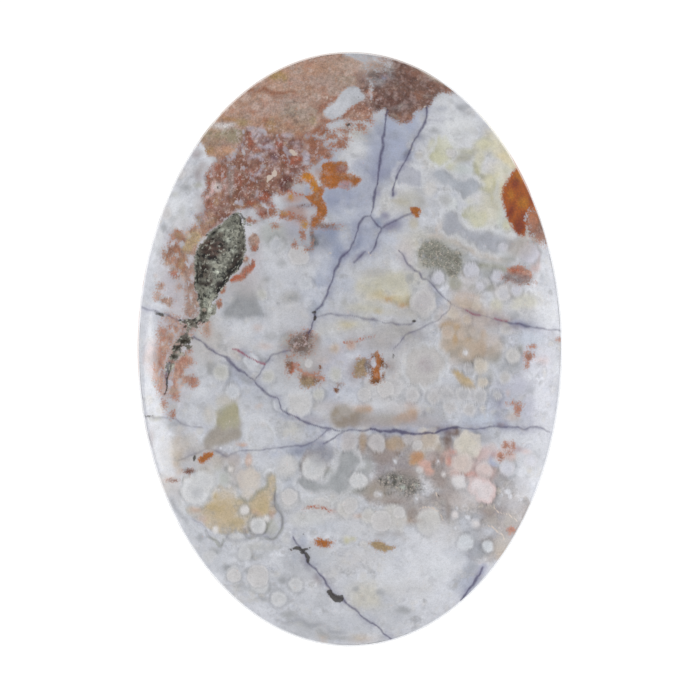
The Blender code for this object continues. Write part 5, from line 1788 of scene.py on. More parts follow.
shade((190, 186, 172), 0.06, both(ovals(places, [(-9.2, 15.3, 1.4, 0.35)]), clumps(0.3, 41, 0.5)), 0.6)
shade(LOAM, 0.12, ovals(places, [(-9.9, 14.55, 0.6, 0.12, -8), (-9.0, 14.45, 0.6, 0.1)]), 0.75)
shade(TOBACCO, 0.12, ovals(places, [(-9.9, 14.05, 0.33, 0.28)]), 0.9)
shade((188, 148, 122), 0.15, ovals(places, [(-8.9, 13.95, 0.9, 0.28)]), 0.8)
shade((160, 108, 84), 0.12, ovals(places, [
    (-6.0, 16.2, 0.2, 0.35), (-6.8, 16.7, 0.15, 0.12), (-3.6, 15.1, 0.4, 0.2),
]), 0.6)
shade(PEAT, 0.06, ovals(places, [
    (-4.15, 16.45, 0.2, 0.15), (-3.8, 16.05, 0.17, 0.17), (-4.3, 15.5, 0.2, 0.12),
    (-3.9, 17.45, 0.15, 0.12), (-5.3, 15.15, 0.12, 0.2), (-5.0, 15.4, 0.1, 0.1),
    (-4.6, 16.9, 0.13, 0.08), (-3.4, 15.6, 0.12, 0.12),
]), 0.75)
shade(RUST, 0.14, streaks(places, 0.22, [
    [(-1.9, 16.15), (-1.1, 16.0), (-0.4, 16.5), (0.2, 17.1), (0.9, 17.4)],
    [(-2.2, 16.6), (-2.0, 17.0), (-1.6, 17.3), (-0.9, 17.9)],
    [(0.6, 18.4), (1.2, 18.3), (1.6, 17.8), (2.0, 17.5)],
    [(-3.1, 14.4), (-2.7, 15.1), (-2.0, 15.6), (-1.2, 15.8), (-0.7, 15.9)],
]), 0.95)

# Colours inside the brick-red part.
shade((186, 182, 196), 0.09, ovals(places, [
    (-6.5, 15.35, 0.5, 0.35, 20), (-6.9, 15.6, 0.4, 0.15), (-6.45, 13.65, 0.5, 0.15, 10),
    (-4.4, 15.1, 0.4, 0.2), (-5.9, 14.25, 0.5, 0.12, -5), (-6.2, 13.35, 0.2, 0.1),
    (-3.1, 13.5, 0.25, 0.5), (-6.4, 12.5, 0.4, 0.1, 40),
]), 0.85)
shade((150, 148, 150), 0.12, ovals(places, [(-8.4, 12.1, 0.22, 0.9), (-8.35, 11.3, 0.15, 0.5)]), 0.85)
shade(CINNAMON, 0.1, ovals(places, [
    (-7.8, 12.8, 0.2, 0.45), (-7.5, 13.65, 0.3, 0.25), (-5.9, 13.15, 0.5, 0.15),
    (-4.6, 13.1, 0.3, 0.25), (-6.0, 14.0, 0.5, 0.12, -10), (-7.0, 11.8, 0.5, 0.35),
    (-6.0, 10.9, 0.3, 0.3), (-7.9, 11.3, 0.2, 0.4), (-4.9, 13.8, 0.3, 0.3), (-6.3, 11.4, 0.5, 0.2),
    (-7.3, 13.0, 0.2, 0.15),
]), 0.7)
shade((98, 60, 58), 0.1, ovals(places, [
    (-4.3, 11.9, 0.35, 0.3), (-4.6, 11.5, 0.35, 0.35), (-6.0, 9.6, 0.15, 0.15), (-6.2, 10.5, 0.3, 0.15),
    (-5.8, 11.1, 0.2, 0.15), (-7.6, 14.0, 0.1, 0.1), (-6.9, 10.9, 0.15, 0.12),
]), 0.8)
shade((160, 92, 70), 0.1, ovals(places, [
    (-7.0, 14.5, 0.15, 0.35), (-6.6, 14.05, 0.3, 0.2), (-3.8, 13.3, 0.45, 0.25, 20),
    (-4.5, 13.3, 0.2, 0.2), (-6.0, 10.7, 0.4, 0.3), (-7.1, 10.2, 0.4, 0.25), (-8.9, 12.3, 0.25, 0.6),
    (-9.3, 12.8, 0.25, 0.3), (-10.0, 11.9, 0.1, 0.5), (-6.2, 9.5, 0.2, 0.25), (-5.4, 10.2, 0.2, 0.2),
]), 0.75)
shade((212, 178, 176), 0.07, streaks(places, 0.14, [
    [(-10.2, 10.6), (-9.85, 11.0), (-9.65, 11.5), (-9.55, 11.85)],
    [(-8.9, 11.3), (-8.75, 11.6), (-9.0, 11.9)],
]), 0.9)
shade((206, 196, 196), 0.08, ovals(places, [(-9.3, 11.45, 0.35, 0.33)]), 0.9)
shade((156, 124, 92), 0.12, ovals(places, [
    (-8.3, 10.45, 0.2, 0.2), (-6.5, 10.1, 0.5, 0.12), (-7.6, 10.1, 0.3, 0.15),
    (-9.8, 9.0, 0.5, 0.2, 30), (-10.7, 9.1, 0.2, 0.25), (-9.4, 10.4, 0.2, 0.3),
]), 0.7)
shade((120, 88, 80), 0.08, ovals(places, [
    (-9.0, 10.1, 0.35, 0.1), (-8.9, 9.6, 0.12, 0.3), (-8.4, 9.8, 0.1, 0.1), (-9.4, 9.6, 0.12, 0.12),
]), 0.7)

# Colours inside the other jasper.
shade(UMBER, 0.4, ovals(places, [(3.6, 18.9, 1.2, 1.3), (6.4, 18.6, 0.6, 0.3)]), 0.7)
shade(LIVER, 0.4, ovals(places, [
    (2.9, 17.5, 1.4, 0.5), (5.6, 17.6, 0.5, 0.3, -40), (4.2, 19.3, 0.3, 0.4),
]), 0.8)
shade(RUST, 0.3, ovals(places, [
    (4.0, 16.3, 0.7, 0.25), (0.9, 16.9, 0.7, 0.4), (6.8, 18.4, 0.6, 0.2, -25),
    (4.9, 19.4, 0.6, 0.25, -15), (4.8, 17.9, 0.4, 0.25),
]), 0.7)
shade(SMOKE, 0.25, ovals(places, [
    (3.5, 17.05, 0.45, 0.12, 15), (2.0, 19.0, 0.7, 0.5), (2.9, 19.6, 0.25, 0.6),
]), 0.6)
shade(GRAPHITE, 0.16, ovals(places, [(1.65, 19.4, 0.45, 0.3), (1.2, 18.6, 0.2, 0.3)]), 0.8)
shade(LAVENDER, 0.15, ovals(places, [(2.4, 19.2, 0.25, 0.17)]), 0.9)
shade((190, 184, 184), 0.2, ovals(places, [
    (1.5, 20.45, 0.5, 0.2), (0.8, 19.9, 0.2, 0.2), (0.7, 18.0, 0.2, 0.4),
]), 0.6)
shade((160, 138, 134), 0.05, both(ovals(places, [(4.0, 18.3, 3.4, 2.2)]), clumps(0.5, 56, 0.6)), 0.6)
shade((92, 66, 60), 0.05, both(ovals(places, [(4.0, 18.3, 3.4, 2.2)]), clumps(0.4, 57, 0.7)), 0.6)
shade((194, 178, 168), 0.4, ovals(places, [(0.8, 20.1, 1.8, 0.6)]), 0.5)
shade((152, 132, 108), 0.4, ovals(places, [(-10.1, 15.0, 1.2, 0.8)]), 0.55)
shade(WALNUT, 0.5, both(brick_part, ovals(places, [(-8.4, 12.4, 1.0, 1.2), (-8.2, 10.2, 0.8, 0.7)])), 0.5)
stain(SADDLE, 0.15, ovals(places, [
    (-2.0, 15.4, 0.5, 0.3), (-1.2, 15.0, 0.4, 0.2), (-2.6, 14.6, 0.3, 0.3),
]), 0.8)
shade(COPPER, 0.4, ovals(places, [(-5.0, 15.7, 1.8, 0.7)]), 0.4)
stain(RUSSET, 0.25, ovals(places, [(-3.7, 12.7, 0.5, 0.45)]), 0.7)
shade(MARMALADE, 0.3, ovals(places, [(-1.5, 12.3, 0.6, 0.7)]), 0.55)
shade(BUFF, 0.2, ovals(places, [(5.8, 19.3, 0.8, 0.2, -32)]), 0.7)
shade((162, 96, 44), 0.3, ovals(places, [(12.9, 10.0, 0.5, 1.4)]), 0.9)
shade((172, 112, 52), 0.2, ovals(places, [
    (12.2, 10.35, 0.4, 0.4), (11.35, 10.9, 0.2, 0.35), (12.0, 12.2, 0.35, 0.5, -35),
]), 0.9)
shade(MAHOGANY, 0.2, ovals(places, [
    (12.9, 10.9, 0.25, 0.8, -10), (11.7, 11.8, 0.25, 0.4, -30), (11.3, 9.7, 0.2, 0.5, -20),
]), 0.7)
shade((112, 58, 28), 0.2, ovals(places, [(11.95, 8.7, 0.35, 0.6), (12.3, 9.3, 0.2, 0.4)]), 0.75)
shade(CLAY, 0.2, ovals(places, [(13.4, 7.9, 0.5, 0.3), (12.9, 9.0, 0.3, 0.6)]), 0.6)
stain((128, 112, 112), 0.2, ovals(places, [(12.0, 4.95, 0.8, 0.3, -12), (11.2, 5.1, 0.4, 0.25)]), 0.8)
shade(EMBER, 0.1, ovals(places, [
    (11.7, 5.55, 0.45, 0.2), (-6.75, 7.1, 0.2, 0.15), (-12.4, 5.3, 0.3, 0.2), (11.4, -12.75, 0.25, 0.2),
]), 0.8)
shade(SHALE, 0.12, streak(places, 0.15, [(10.9, 5.4), (11.4, 5.1), (11.9, 4.9), (12.4, 4.8)]), 0.9)
shade(KHAKI, 0.15, ovals(places, [
    (-10.7, 9.1, 0.2, 0.25), (-11.2, 7.6, 0.3, 0.4), (-12.1, 8.0, 0.2, 0.2), (-11.9, 6.0, 0.2, 0.3),
]), 0.6)
stain(BARK, 0.12, ovals(places, [
    (1.8, -2.3, 0.3, 0.13), (2.32, -1.0, 0.1, 0.3), (1.5, -1.7, 0.1, 0.3), (1.6, -0.5, 0.12, 0.12),
    (2.35, -1.9, 0.1, 0.2),
]), 0.9)
shade(BARK, 0.1, ovals(places, [(-4.4, -1.0, 0.08, 0.3)]), 0.9)
shade(LIVER, 0.2, ovals(places, [(-3.0, 0.9, 0.35, 0.35), (-11.35, -8.65, 0.2, 0.1)]), 0.7)
shade(LIVER, 0.12, ovals(places, [(12.6, -0.6, 0.2, 0.2), (10.65, -7.7, 0.15, 0.15)]), 0.5)

# Windows in the jasper.
clear(0.1, ovals(places, [
    (-11.9, 7.35, 0.2, 0.25), (-11.2, 6.4, 0.25, 0.35), (-12.2, 6.6, 0.2, 0.15),
    (-11.15, 5.0, 0.16, 0.3), (-11.35, 8.0, 0.15, 0.1), (-11.2, 3.6, 0.14, 0.3),
    (-13.2, 0.4, 0.12, 0.16), (-13.45, -1.6, 0.12, 0.25),
]))
clear(0.08, both(ovals(places, [(-11.6, 5.6, 1.8, 3.4), (-12.6, 0.0, 1.2, 3.0)]), clumps(0.55, 54, 1.5)))
clear(0.07, both(brick_part, clumps(0.5, 55, 1.45)))
clear(0.1, patch(places, [
    (-1.9, 16.6), (-1.65, 17.0), (-1.1, 17.4), (-0.7, 18.0), (-0.2, 18.4), (0.4, 18.5), (0.85, 18.1),
    (1.1, 17.75), (0.6, 17.4), (0.0, 17.0), (-0.5, 16.55), (-0.9, 16.3), (-1.5, 16.25),
]))
clear(0.12, ovals(places, [(-3.0, 15.0, 0.2, 0.15), (0.4, 16.0, 0.3, 0.1)]))
cloud(MIST, 0.4, ovals(places, [(-0.5, 17.5, 0.7, 0.5, 40)]), 0.6)
cloud(TAUPE, 0.5, ovals(places, [(1.8, 20.6, 1.0, 0.35)]), 0.45)


# Crystals, flecks and dark grains
# The pits' crystals are grey-green and sharp. Tiny cream flecks and near-black grains of
# manganese lie scattered in the jasper and along the veins.

MOSS_PATCH = [
    (5.3, 7.6), (6.2, 7.65), (7.0, 7.1), (7.8, 6.9), (7.9, 6.2), (7.7, 5.4), (7.5, 5.0), (7.1, 5.0),
    (6.6, 5.6), (6.0, 5.75), (5.4, 5.8), (4.9, 6.3), (4.8, 6.9),
]
SPECKLED_PATCH = [
    (2.0, -9.2), (2.6, -8.7), (3.2, -8.6), (4.2, -8.9), (4.9, -9.3), (5.4, -9.9), (4.6, -10.3),
    (3.8, -10.4), (3.2, -10.0), (2.4, -9.7),
]
pit_lining_and_shade = np.tile(linear(FLINT), (len(places), 1))


# The pits' lining layer holds the crystals' own colours and also painted shade in their crevices.
def line_pit(colour, soft, strength, reach):
    tint(pit_lining_and_shade, colour, soft, reach, strength)


line_pit((118, 113, 106), 0.3, 1.0, ovals(places, [(-11.6, 0.9, 1.4, 1.8)]))
line_pit((150, 152, 141), 0.3, 0.9, ovals(places, [
    (-8.3, 8.0, 0.8, 0.7, 40), (-9.0, 5.2, 0.5, 0.4), (-9.9, 3.9, 0.35, 0.7), (-7.9, 7.2, 0.35, 0.5),
]))
line_pit(SILT, 0.25, 0.9, ovals(places, [
    (-10.4, 6.2, 0.3, 1.2), (-10.25, 5.3, 0.5, 0.42), (-9.2, 8.0, 0.3, 0.3),
]))
line_pit(COCOA, 0.16, 0.95, ovals(places, [(-9.6, 7.0, 0.85, 0.55, 15), (-9.9, 7.5, 0.5, 0.25, 25)]))
# Painted shade: a dark line under the brown mound and dark crevices in the main pit's floor.
line_pit((62, 50, 44), 0.12, 0.9, ovals(places, [
    (-9.5, 6.5, 0.7, 0.16, -12), (-9.2, 4.4, 0.3, 0.5, -30), (-8.8, 7.5, 0.5, 0.1, -10),
]))
# Painted shade along the inside of the main pit's right wall.
line_pit(
    (86, 80, 72), 0.3, 0.6, streak(places, 0.35, [(-7.7, 8.4), (-7.8, 7.0), (-8.2, 6.0), (-8.8, 5.0)]),
)
line_pit((168, 168, 156), 0.2, 0.85, ovals(places, [
    (-8.3, 7.9, 0.5, 0.45, 40), (-9.9, 3.1, 0.3, 0.45), (-8.8, 6.5, 0.5, 0.35), (-9.4, 5.8, 0.4, 0.3),
    (-10.3, 4.5, 0.3, 0.4),
]))
line_pit((198, 202, 190), 0.1, 0.9, ovals(places, [
    (-10.15, 3.2, 0.2, 0.35), (-9.9, 2.75, 0.15, 0.2), (-8.5, 7.7, 0.25, 0.12, 40),
    (-9.35, 5.5, 0.2, 0.14), (-8.25, 6.9, 0.2, 0.1), (-10.55, 5.9, 0.1, 0.25),
    (-9.1, 8.4, 0.2, 0.1, 30), (-9.9, 4.0, 0.12, 0.2),
]))
# Painted shade in the crevices along the main pit's right wall and in from its left wall.
line_pit((64, 54, 46), 0.16, 0.9, streaks(places, 0.2, [
    [(-7.5, 7.2), (-7.9, 6.4), (-8.3, 5.6), (-8.8, 4.8), (-9.3, 4.2)],
    [(-10.7, 5.9), (-10.3, 5.7), (-9.8, 5.8)], [(-10.6, 4.7), (-10.1, 4.6), (-9.7, 4.9)],
]))
# Painted shade in the smallest crevices and gaps of the main pit.
line_pit((50, 42, 37), 0.1, 0.95, ovals(places, [
    (-9.85, 6.45, 0.45, 0.1, -15), (-8.3, 5.55, 0.5, 0.12, 40), (-9.25, 4.3, 0.16, 0.4, -25),
    (-7.68, 8.9, 0.09, 0.6, 8), (-10.8, 5.5, 0.08, 0.3), (-8.95, 7.2, 0.35, 0.06, -20),
    (-9.6, 8.2, 0.3, 0.08, 40), (-8.1, 7.3, 0.08, 0.25), (-7.85, 5.95, 0.4, 0.2, 40),
    (-8.9, 4.75, 0.3, 0.14, 45),
]))
line_pit((178, 172, 160), 0.18, 0.8, ovals(places, [
    (-11.95, -0.32, 0.25, 0.12), (-11.25, 0.5, 0.14, 0.12), (-12.7, -1.3, 0.2, 0.2),
    (-11.55, 1.35, 0.22, 0.12), (-12.0, 0.35, 0.12, 0.1),
]))
line_pit((66, 62, 54), 0.18, 0.85, ovals(places, [
    (-11.75, 0.62, 0.3, 0.14), (-12.45, -0.5, 0.18, 0.2), (-12.25, 0.05, 0.15, 0.12),
    (-11.4, 0.2, 0.1, 0.14), (-11.1, 1.9, 0.25, 0.08),
]))
druse = np.clip(union([
    patch(places, MAIN_PIT),
    ovals(places, [
        (-11.7, 0.65, 0.55, 0.28, 12), (-12.2, 0.0, 0.32, 0.24), (-11.4, 0.2, 0.28, 0.16),
        (-12.4, -0.5, 0.34, 0.26), (-12.75, -1.3, 0.3, 0.36), (-11.9, -0.3, 0.3, 0.14),
    ]),
    streaks(places, 0.2, [
        [(-10.1, 3.2), (-10.2, 2.6), (-10.7, 2.1), (-11.2, 1.7), (-11.6, 1.0)],
        [(-9.5, 3.1), (-9.8, 2.5), (-10.4, 2.0)], [(-11.9, 1.9), (-11.2, 1.9), (-10.7, 1.6)],
    ]),
    streaks(places, 0.07, [
        [(-9.8, 8.2), (-9.3, 8.65), (-8.7, 9.1), (-8.0, 9.6), (-7.6, 9.3), (-7.3, 8.85), (-6.9, 8.7)],
        [(-7.5, 9.3), (-7.3, 9.5)],
    ]),
]), -0.5, 0.5)

# Two more groups of crystals lie closed under the polish.
moss = patch(places, MOSS_PATCH)
cloud((158, 158, 150), 0.4, moss, 0.75)
cloud((138, 138, 129), 0.14, moss, 0.95)
dab((112, 110, 100), 0.1, 0.7, [
    (7.0, 6.55, 0.2, 0.12), (5.6, 6.5, 0.2, 0.1), (7.2, 5.4, 0.3, 0.2), (6.1, 7.0, 0.2, 0.1),
    (7.5, 6.3, 0.15, 0.3),
])
dab((166, 164, 152), 0.15, 0.6, [(7.4, 4.7, 0.5, 0.4), (5.0, 6.0, 0.3, 0.25), (6.8, 7.5, 0.4, 0.15)])
speckled = patch(places, SPECKLED_PATCH)
cloud((136, 132, 128), 0.25, speckled, 0.9)
dab(PINE, 0.08, 0.85, [
    (3.1, -9.0, 0.22, 0.16), (3.15, -9.4, 0.17, 0.2), (4.2, -9.75, 0.22, 0.12), (2.1, -9.2, 0.12, 0.1),
    (2.55, -9.45, 0.12, 0.12), (3.6, -9.3, 0.1, 0.1), (4.55, -10.0, 0.12, 0.1),
    (2.7, -10.15, 0.35, 0.06),
])
dab(MINT, 0.08, 0.8, [
    (3.7, -9.75, 0.2, 0.14), (3.5, -9.05, 0.1, 0.08), (4.7, -9.6, 0.1, 0.07), (2.7, -9.1, 0.08, 0.07),
])

dark_grains = np.clip(union([
    ovals(places, [
        (-0.1, 15.8, 0.13, 0.12), (-0.1, 15.35, 0.07, 0.07), (0.55, 17.75, 0.06, 0.06),
        (-9.3, 11.4, 0.13, 0.1), (-7.6, 9.3, 0.25, 0.12, -50), (-11.7, 0.55, 0.3, 0.12, 20),
        (-12.1, 0.15, 0.25, 0.12, 10), (-11.35, 0.5, 0.15, 0.15), (-12.45, -0.5, 0.16, 0.14),
        (-12.0, 2.05, 0.3, 0.08), (-11.6, 1.6, 0.25, 0.1, 30), (-11.2, 1.75, 0.15, 0.1),
        (-10.95, -7.7, 0.08, 0.15), (-8.5, -7.0, 0.06, 0.06), (3.05, -0.45, 0.1, 0.15),
        (-3.3, -13.05, 0.1, 0.06), (-3.35, -14.3, 0.2, 0.14), (11.05, -12.8, 0.06, 0.06),
        (11.8, -12.85, 0.06, 0.06), (11.6, -13.05, 0.06, 0.06), (-6.5, 7.1, 0.08, 0.1),
        (-13.4, 2.5, 0.45, 0.12, -15), (-14.2, -4.7, 0.3, 0.08), (4.55, 2.0, 0.12, 0.1),
        (6.3, -10.4, 0.2, 0.05, -60), (-4.6, 6.7, 0.05, 0.05), (-2.5, 2.6, 0.15, 0.12),
        (-2.45, 2.2, 0.12, 0.15), (1.1, -17.1, 0.06, 0.06),
    ]),
    patch(places, PLUME_PIT),
    streak(places, 0.07, [(-12.6, -0.9), (-12.75, -1.6), (-12.9, -2.2), (-12.95, -2.7), (-13.1, -3.2)]),
    streaks(places, 0.13, [
        [(-4.3, -14.1), (-3.8, -14.0), (-3.3, -14.15), (-2.85, -13.95)],
        [(-3.3, -14.2), (-3.0, -14.6), (-2.9, -15.1)],
    ]),
]), -0.5, 0.5)

fleck = np.clip(ovals(places, [
    (-4.1, 13.95, 0.22, 0.14), (-3.9, 13.75, 0.22, 0.15), (-5.3, 12.4, 0.2, 0.25),
    (-5.65, 12.1, 0.28, 0.2), (-5.8, 11.85, 0.13, 0.15), (-1.65, 17.75, 0.1, 0.12),
    (5.3, 17.1, 0.12, 0.07), (-8.2, 10.2, 0.07, 0.1), (-12.5, -9.2, 0.07, 0.07),
    (-10.3, 2.8, 0.2, 0.15), (-9.5, 11.6, 0.06, 0.3, 15), (8.2, 7.85, 0.1, 0.05),
    (8.0, 8.05, 0.08, 0.04), (1.65, -1.45, 0.12, 0.05), (-3.7, 13.6, 0.05, 0.08),
    (-4.3, 3.5, 0.3, 0.05, -20), (-4.0, 3.75, 0.1, 0.06), (-0.6, 8.4, 0.2, 0.05),
    (-0.3, 8.5, 0.1, 0.05, 30), (-1.4, 6.75, 0.15, 0.06), (1.5, 6.6, 0.15, 0.05, 40),
    (1.35, 6.8, 0.05, 0.15, 30), (-8.6, -5.2, 0.12, 0.05, 30), (-8.45, -5.05, 0.05, 0.1),
    (-0.9, -16.0, 0.05, 0.05),
]), -0.5, 0.5)
wisps = np.clip(streaks(places, 0.07, [
    [(10.1, -10.9), (10.2, -11.3), (10.7, -11.6), (11.2, -11.7), (11.8, -12.1), (12.0, -12.3)],
    [(9.5, -12.3), (10.1, -12.6), (10.6, -13.0), (10.9, -13.5)],
    [(6.0, -10.0), (6.2, -10.5)],
    [(4.6, -11.6), (5.0, -11.2), (5.8, -11.2), (6.4, -11.6), (6.7, -12.4)],
]), -0.5, 0.5)
fleck = np.maximum(fleck, wisps)

# Grains show most in the jasper and the grey field, and hardly at all in the milky ground.
grain = np.clip(0.75 * smooth_step(-1, 1, jasper_reach), 0, 1)
grain = np.maximum(grain, 0.5 * smooth_step(-0.3, 0.3, grey_field))
grain = np.maximum(grain, 0.35 * smooth_step(-0.2, 0.2, straw_field))
grain *= 1 - 0.85 * calm
grain = np.maximum(grain, 1.5 * smooth_step(-0.2, 0.1, np.maximum(moss, speckled)))


# Dark clots and pale grains are mixed into the brick-red part most, and into sand least.
clot = np.full(len(places), 0.25)
clot = np.maximum(clot, 0.9 * smooth_step(-0.6, 0.6, ovals(places, [
    (-6.0, 12.6, 3.6, 2.4), (-8.6, 11.0, 2.2, 2.6), (-1.6, 13.9, 1.6, 0.9), (-7.0, 15.2, 2.2, 0.6, 10),
    (-3.4, 0.5, 1.2, 1.0), (0.4, 17.2, 2.0, 1.4),
])))

clot *= 1 - 0.9 * smooth_step(-0.2, 0.1, ovals(places, [
    (12.0, 10.4, 1.5, 2.7), (-1.9, -13.7, 0.9, 0.5), (2.2, -13.9, 1.2, 0.5), (4.6, 9.75, 0.5, 0.5),
    (-10.2, -7.6, 0.7, 0.5),
]))


# The veins are drawn
# The ink is dark along each vein's line and has a faint bluish shadow on both sides.

VEIN_WIDTH = 0.095
vein = np.zeros(len(places))
pink_vein = np.zeros(len(places))
shadow = np.zeros(len(places))
uneven = 0.85 + 0.22 * mottle(places, 0.9, 4)
for veins, drawn in ((VEINS, vein), (PINK_VEINS, pink_vein)):
    for ink, points in veins:
        line = smooth_line(points)
        chosen = near(places, line.min(axis=0), line.max(axis=0))
        distance = line_distance(places[chosen], line)[0]
        width = VEIN_WIDTH * (0.7 + 0.4 * ink) * uneven[chosen]
        drawn[chosen] = np.maximum(drawn[chosen], ink * np.exp(-((distance / width) ** 2)))
        shadow[chosen] = np.maximum(shadow[chosen], ink * np.exp(-((distance / 0.34) ** 2)))
cover = (0.5 * shadow * np.clip(0.5 + 0.5 * mottle(places, 0.8, 9), 0, 1))[:, None]
ground[:] = ground * (1 - cover) + linear((136, 136, 162)) * cover


def carry(name, kind, values):
    """Writes a value for each vertex into the stone's mesh, for its material to read."""
    slot = stone.data.attributes.new(name, kind, "POINT")
    slot.data.foreach_set("value" if kind == "FLOAT" else "vector", values.astype(np.float32).ravel())


carry("ground", "FLOAT_VECTOR", ground)
carry("jasper", "FLOAT_VECTOR", jasper)
carry("pit_lining_and_shade", "FLOAT_VECTOR", pit_lining_and_shade)
for name, values in {
    "jasper_reach": jasper_reach,
    "ring": np.clip(ring, -0.5, 0.5),
    "crowd": crowd * (1 - calm),
    "calm": calm,
    "druse": druse,
    "dark": dark_grains,
    "fleck": fleck,
    "grain": grain,
    "clot": clot,
    "vein": vein,
    "pink_vein": pink_vein,
    "polish": smooth_step(0.3, 0.9, spots[:, 2]) * (1 - smooth_step(0, 0.1, pit_depth(places))),
}.items():
    carry(name, "FLOAT", values)

# The pits are sunk, and their crystals stand up from the floor in small blocks.
CRYSTAL = 0.2
depth = np.where(on_face, pit_depth(places), 0)
block = np.array([noise.voronoi(Vector(spot) / CRYSTAL)[0][:2] for spot in spots[depth > 0]])
crystals = np.zeros(len(spots))
crystals[depth > 0] = 0.5 - block[:, 0]
sunk = depth - np.minimum(depth, 0.25) * crystals * 0.9
spots[:, 2] -= np.where(depth > 0, np.maximum(sunk, 0), 0)
stone.data.vertices.foreach_set("co", (spots * MM).ravel())
stone.data.update()


# The polish and the colours
# The face is buffed to a glassy shine. The jasper takes the polish a little less evenly,
# the crystals in the pits are left rough, and the sawn back is only smoothed.


class Wire:
    """A shader socket that can be written in sums: 1 - mask adds the Math node for it."""

    def __init__(self, tree, socket=None):
        self.tree = tree
        self.socket = socket

    def node(self, kind, settings=None, sockets=None, output=0):
        """Adds a node, sets it up and fills its sockets with values or with other wires."""
        added = self.tree.nodes.new(kind)
        for name, value in (settings or {}).items():
            setattr(added, name, value)
        for name, value in (sockets or {}).items():
            if isinstance(value, Wire):
                self.tree.links.new(value.socket, added.inputs[name])
            else:
                added.inputs[name].default_value = value
        return Wire(self.tree, added.outputs[output])

    def math(self, operation, *values):
        return self.node("ShaderNodeMath", {"operation": operation}, dict(enumerate(values)))

    def __add__(self, other):
        return self.math("ADD", self, other)

    def __sub__(self, other):
        return self.math("SUBTRACT", self, other)

    def __rsub__(self, other):
        return self.math("SUBTRACT", other, self)

    def __mul__(self, other):
        return self.math("MULTIPLY", self, other)

    def __truediv__(self, other):
        return self.math("DIVIDE", self, other)

    __radd__ = __add__
    __rmul__ = __mul__

    def abs(self):
        return self.math("ABSOLUTE", self)

    def output(self, name):
        """Another output of the node that this socket is on."""
        return Wire(self.tree, self.socket.node.outputs[name])

    def step(self, start, end):
        """0 up to start, 1 from end on, and smooth between them."""
        return self.node(
            "ShaderNodeMapRange",
            {"interpolation_type": "SMOOTHSTEP"},
            {"Value": self, "From Min": start, "From Max": end},
        )

    def noise(self, size, detail=2.0, roughness=0.5, shift=0.0):
        """Noise from -0.5 to 0.5 over this place, its clumps about size millimetres wide."""
        moved = self.node(
            "ShaderNodeVectorMath", {"operation": "ADD"}, {0: self, 1: (shift, shift, shift)},
        )
        sockets = {"Vector": moved, "Scale": 1 / size, "Detail": detail, "Roughness": roughness}
        return self.node("ShaderNodeTexNoise", None, sockets) - 0.5

    def cells(self, size, feature="F1", shift=0.0, randomness=1.0):
        """Distance to the nearest of points scattered about size millimetres apart."""
        moved = self.node(
            "ShaderNodeVectorMath", {"operation": "ADD"}, {0: self, 1: (shift, shift, shift)},
        )
        sockets = {"Vector": moved, "Scale": 1 / size, "Randomness": randomness}
        return self.node("ShaderNodeTexVoronoi", {"feature": feature}, sockets)

    def mix(self, other, factor):
        """This colour, changed to the other one as factor goes from 0 to 1."""
        sockets = {0: factor, 6: self, 7: other}
        return self.node("ShaderNodeMix", {"data_type": "RGBA"}, sockets, output=2)

    def bright(self, amount):
        """This colour times 1 + amount."""
        return self.node("ShaderNodeVectorMath", {"operation": "SCALE"}, {0: self, "Scale": amount + 1})


def paint(colour):
    return (*linear(colour).tolist(), 1.0)


QUARTZ_IOR = 1.54
CRYSTAL_BUMP = 0.02 * MM

# Colours that the noise mixes into the painted ones.
WARM_CLOUD = (196, 190, 176)
COOL_CLOUD = (174, 179, 196)
PALE_CLOUD = (214, 216, 223)
GREY_CLOUD = (162, 163, 167)
GREY_CORE = (166, 163, 162)
CREAM_CORE = (206, 198, 182)
BLUE_CORE = (180, 184, 202)
DARK_GRIT = (112, 106, 106)
PINK_GRIT = (198, 168, 158)
RED_GRIT = (150, 104, 84)
GREY_GRIT = (158, 148, 138)
PINK_CLOT = (203, 184, 184)
SAND_CLOT = (214, 190, 172)
# The next two are painted shade for the gaps between the pits' crystals, and the crystals' pale tips with
# painted glints.
CRYSTAL_GAP_SHADE = (44, 40, 35)
CRYSTAL_TIP_AND_GLINT = (194, 196, 184)
FLECK_TINT = (214, 200, 188)
VEIN_INK = (76, 72, 100)
PINK_INK = (150, 88, 104)
DARK_GRAIN = (62, 58, 50)

polished = bpy.data.materials.new("polished_chalcedony")
polished.use_nodes = True
start = Wire(polished.node_tree)
shader = polished.node_tree.nodes["Principled BSDF"]


def carried(name, output="Fac"):
    return start.node("ShaderNodeAttribute", {"attribute_name": name}, output=output)


object_place = start.node("ShaderNodeTexCoord", output="Object")
place = start.node("ShaderNodeVectorMath", {"operation": "SCALE"}, {0: object_place, "Scale": 1 / MM})

lumps = place.noise(0.34, 3, 0.6)
fine = place.noise(0.13, 2, 0.6, 11)
dust = place.noise(0.06, 1, 0.5, 13)
broad = place.noise(1.1, 4, 0.6, 23)
grains = carried("grain")

# Milky ground: warm and cool mottling, and a fine grain.
free = 1 - carried("calm") * 0.8
colour = carried("ground", "Vector")
colour = colour.mix(paint(WARM_CLOUD), place.noise(0.95, 3, 0.6, 41).step(0.02, 0.22) * free * 0.25)
colour = colour.mix(paint(COOL_CLOUD), place.noise(0.8, 3, 0.6, 53).step(0.04, 0.24) * free * 0.25)
colour = colour.mix(paint(PALE_CLOUD), place.noise(1.7, 3, 0.5, 67).step(0.02, 0.2) * free * 0.6)
colour = colour.mix(paint(GREY_CLOUD), place.noise(0.95, 3, 0.55, 73).step(0.06, 0.24) * free * 0.6)
colour = colour.bright(broad * 0.35 + lumps * 0.25 + fine * (grains * 0.8 + 0.3) + dust * 0.35)

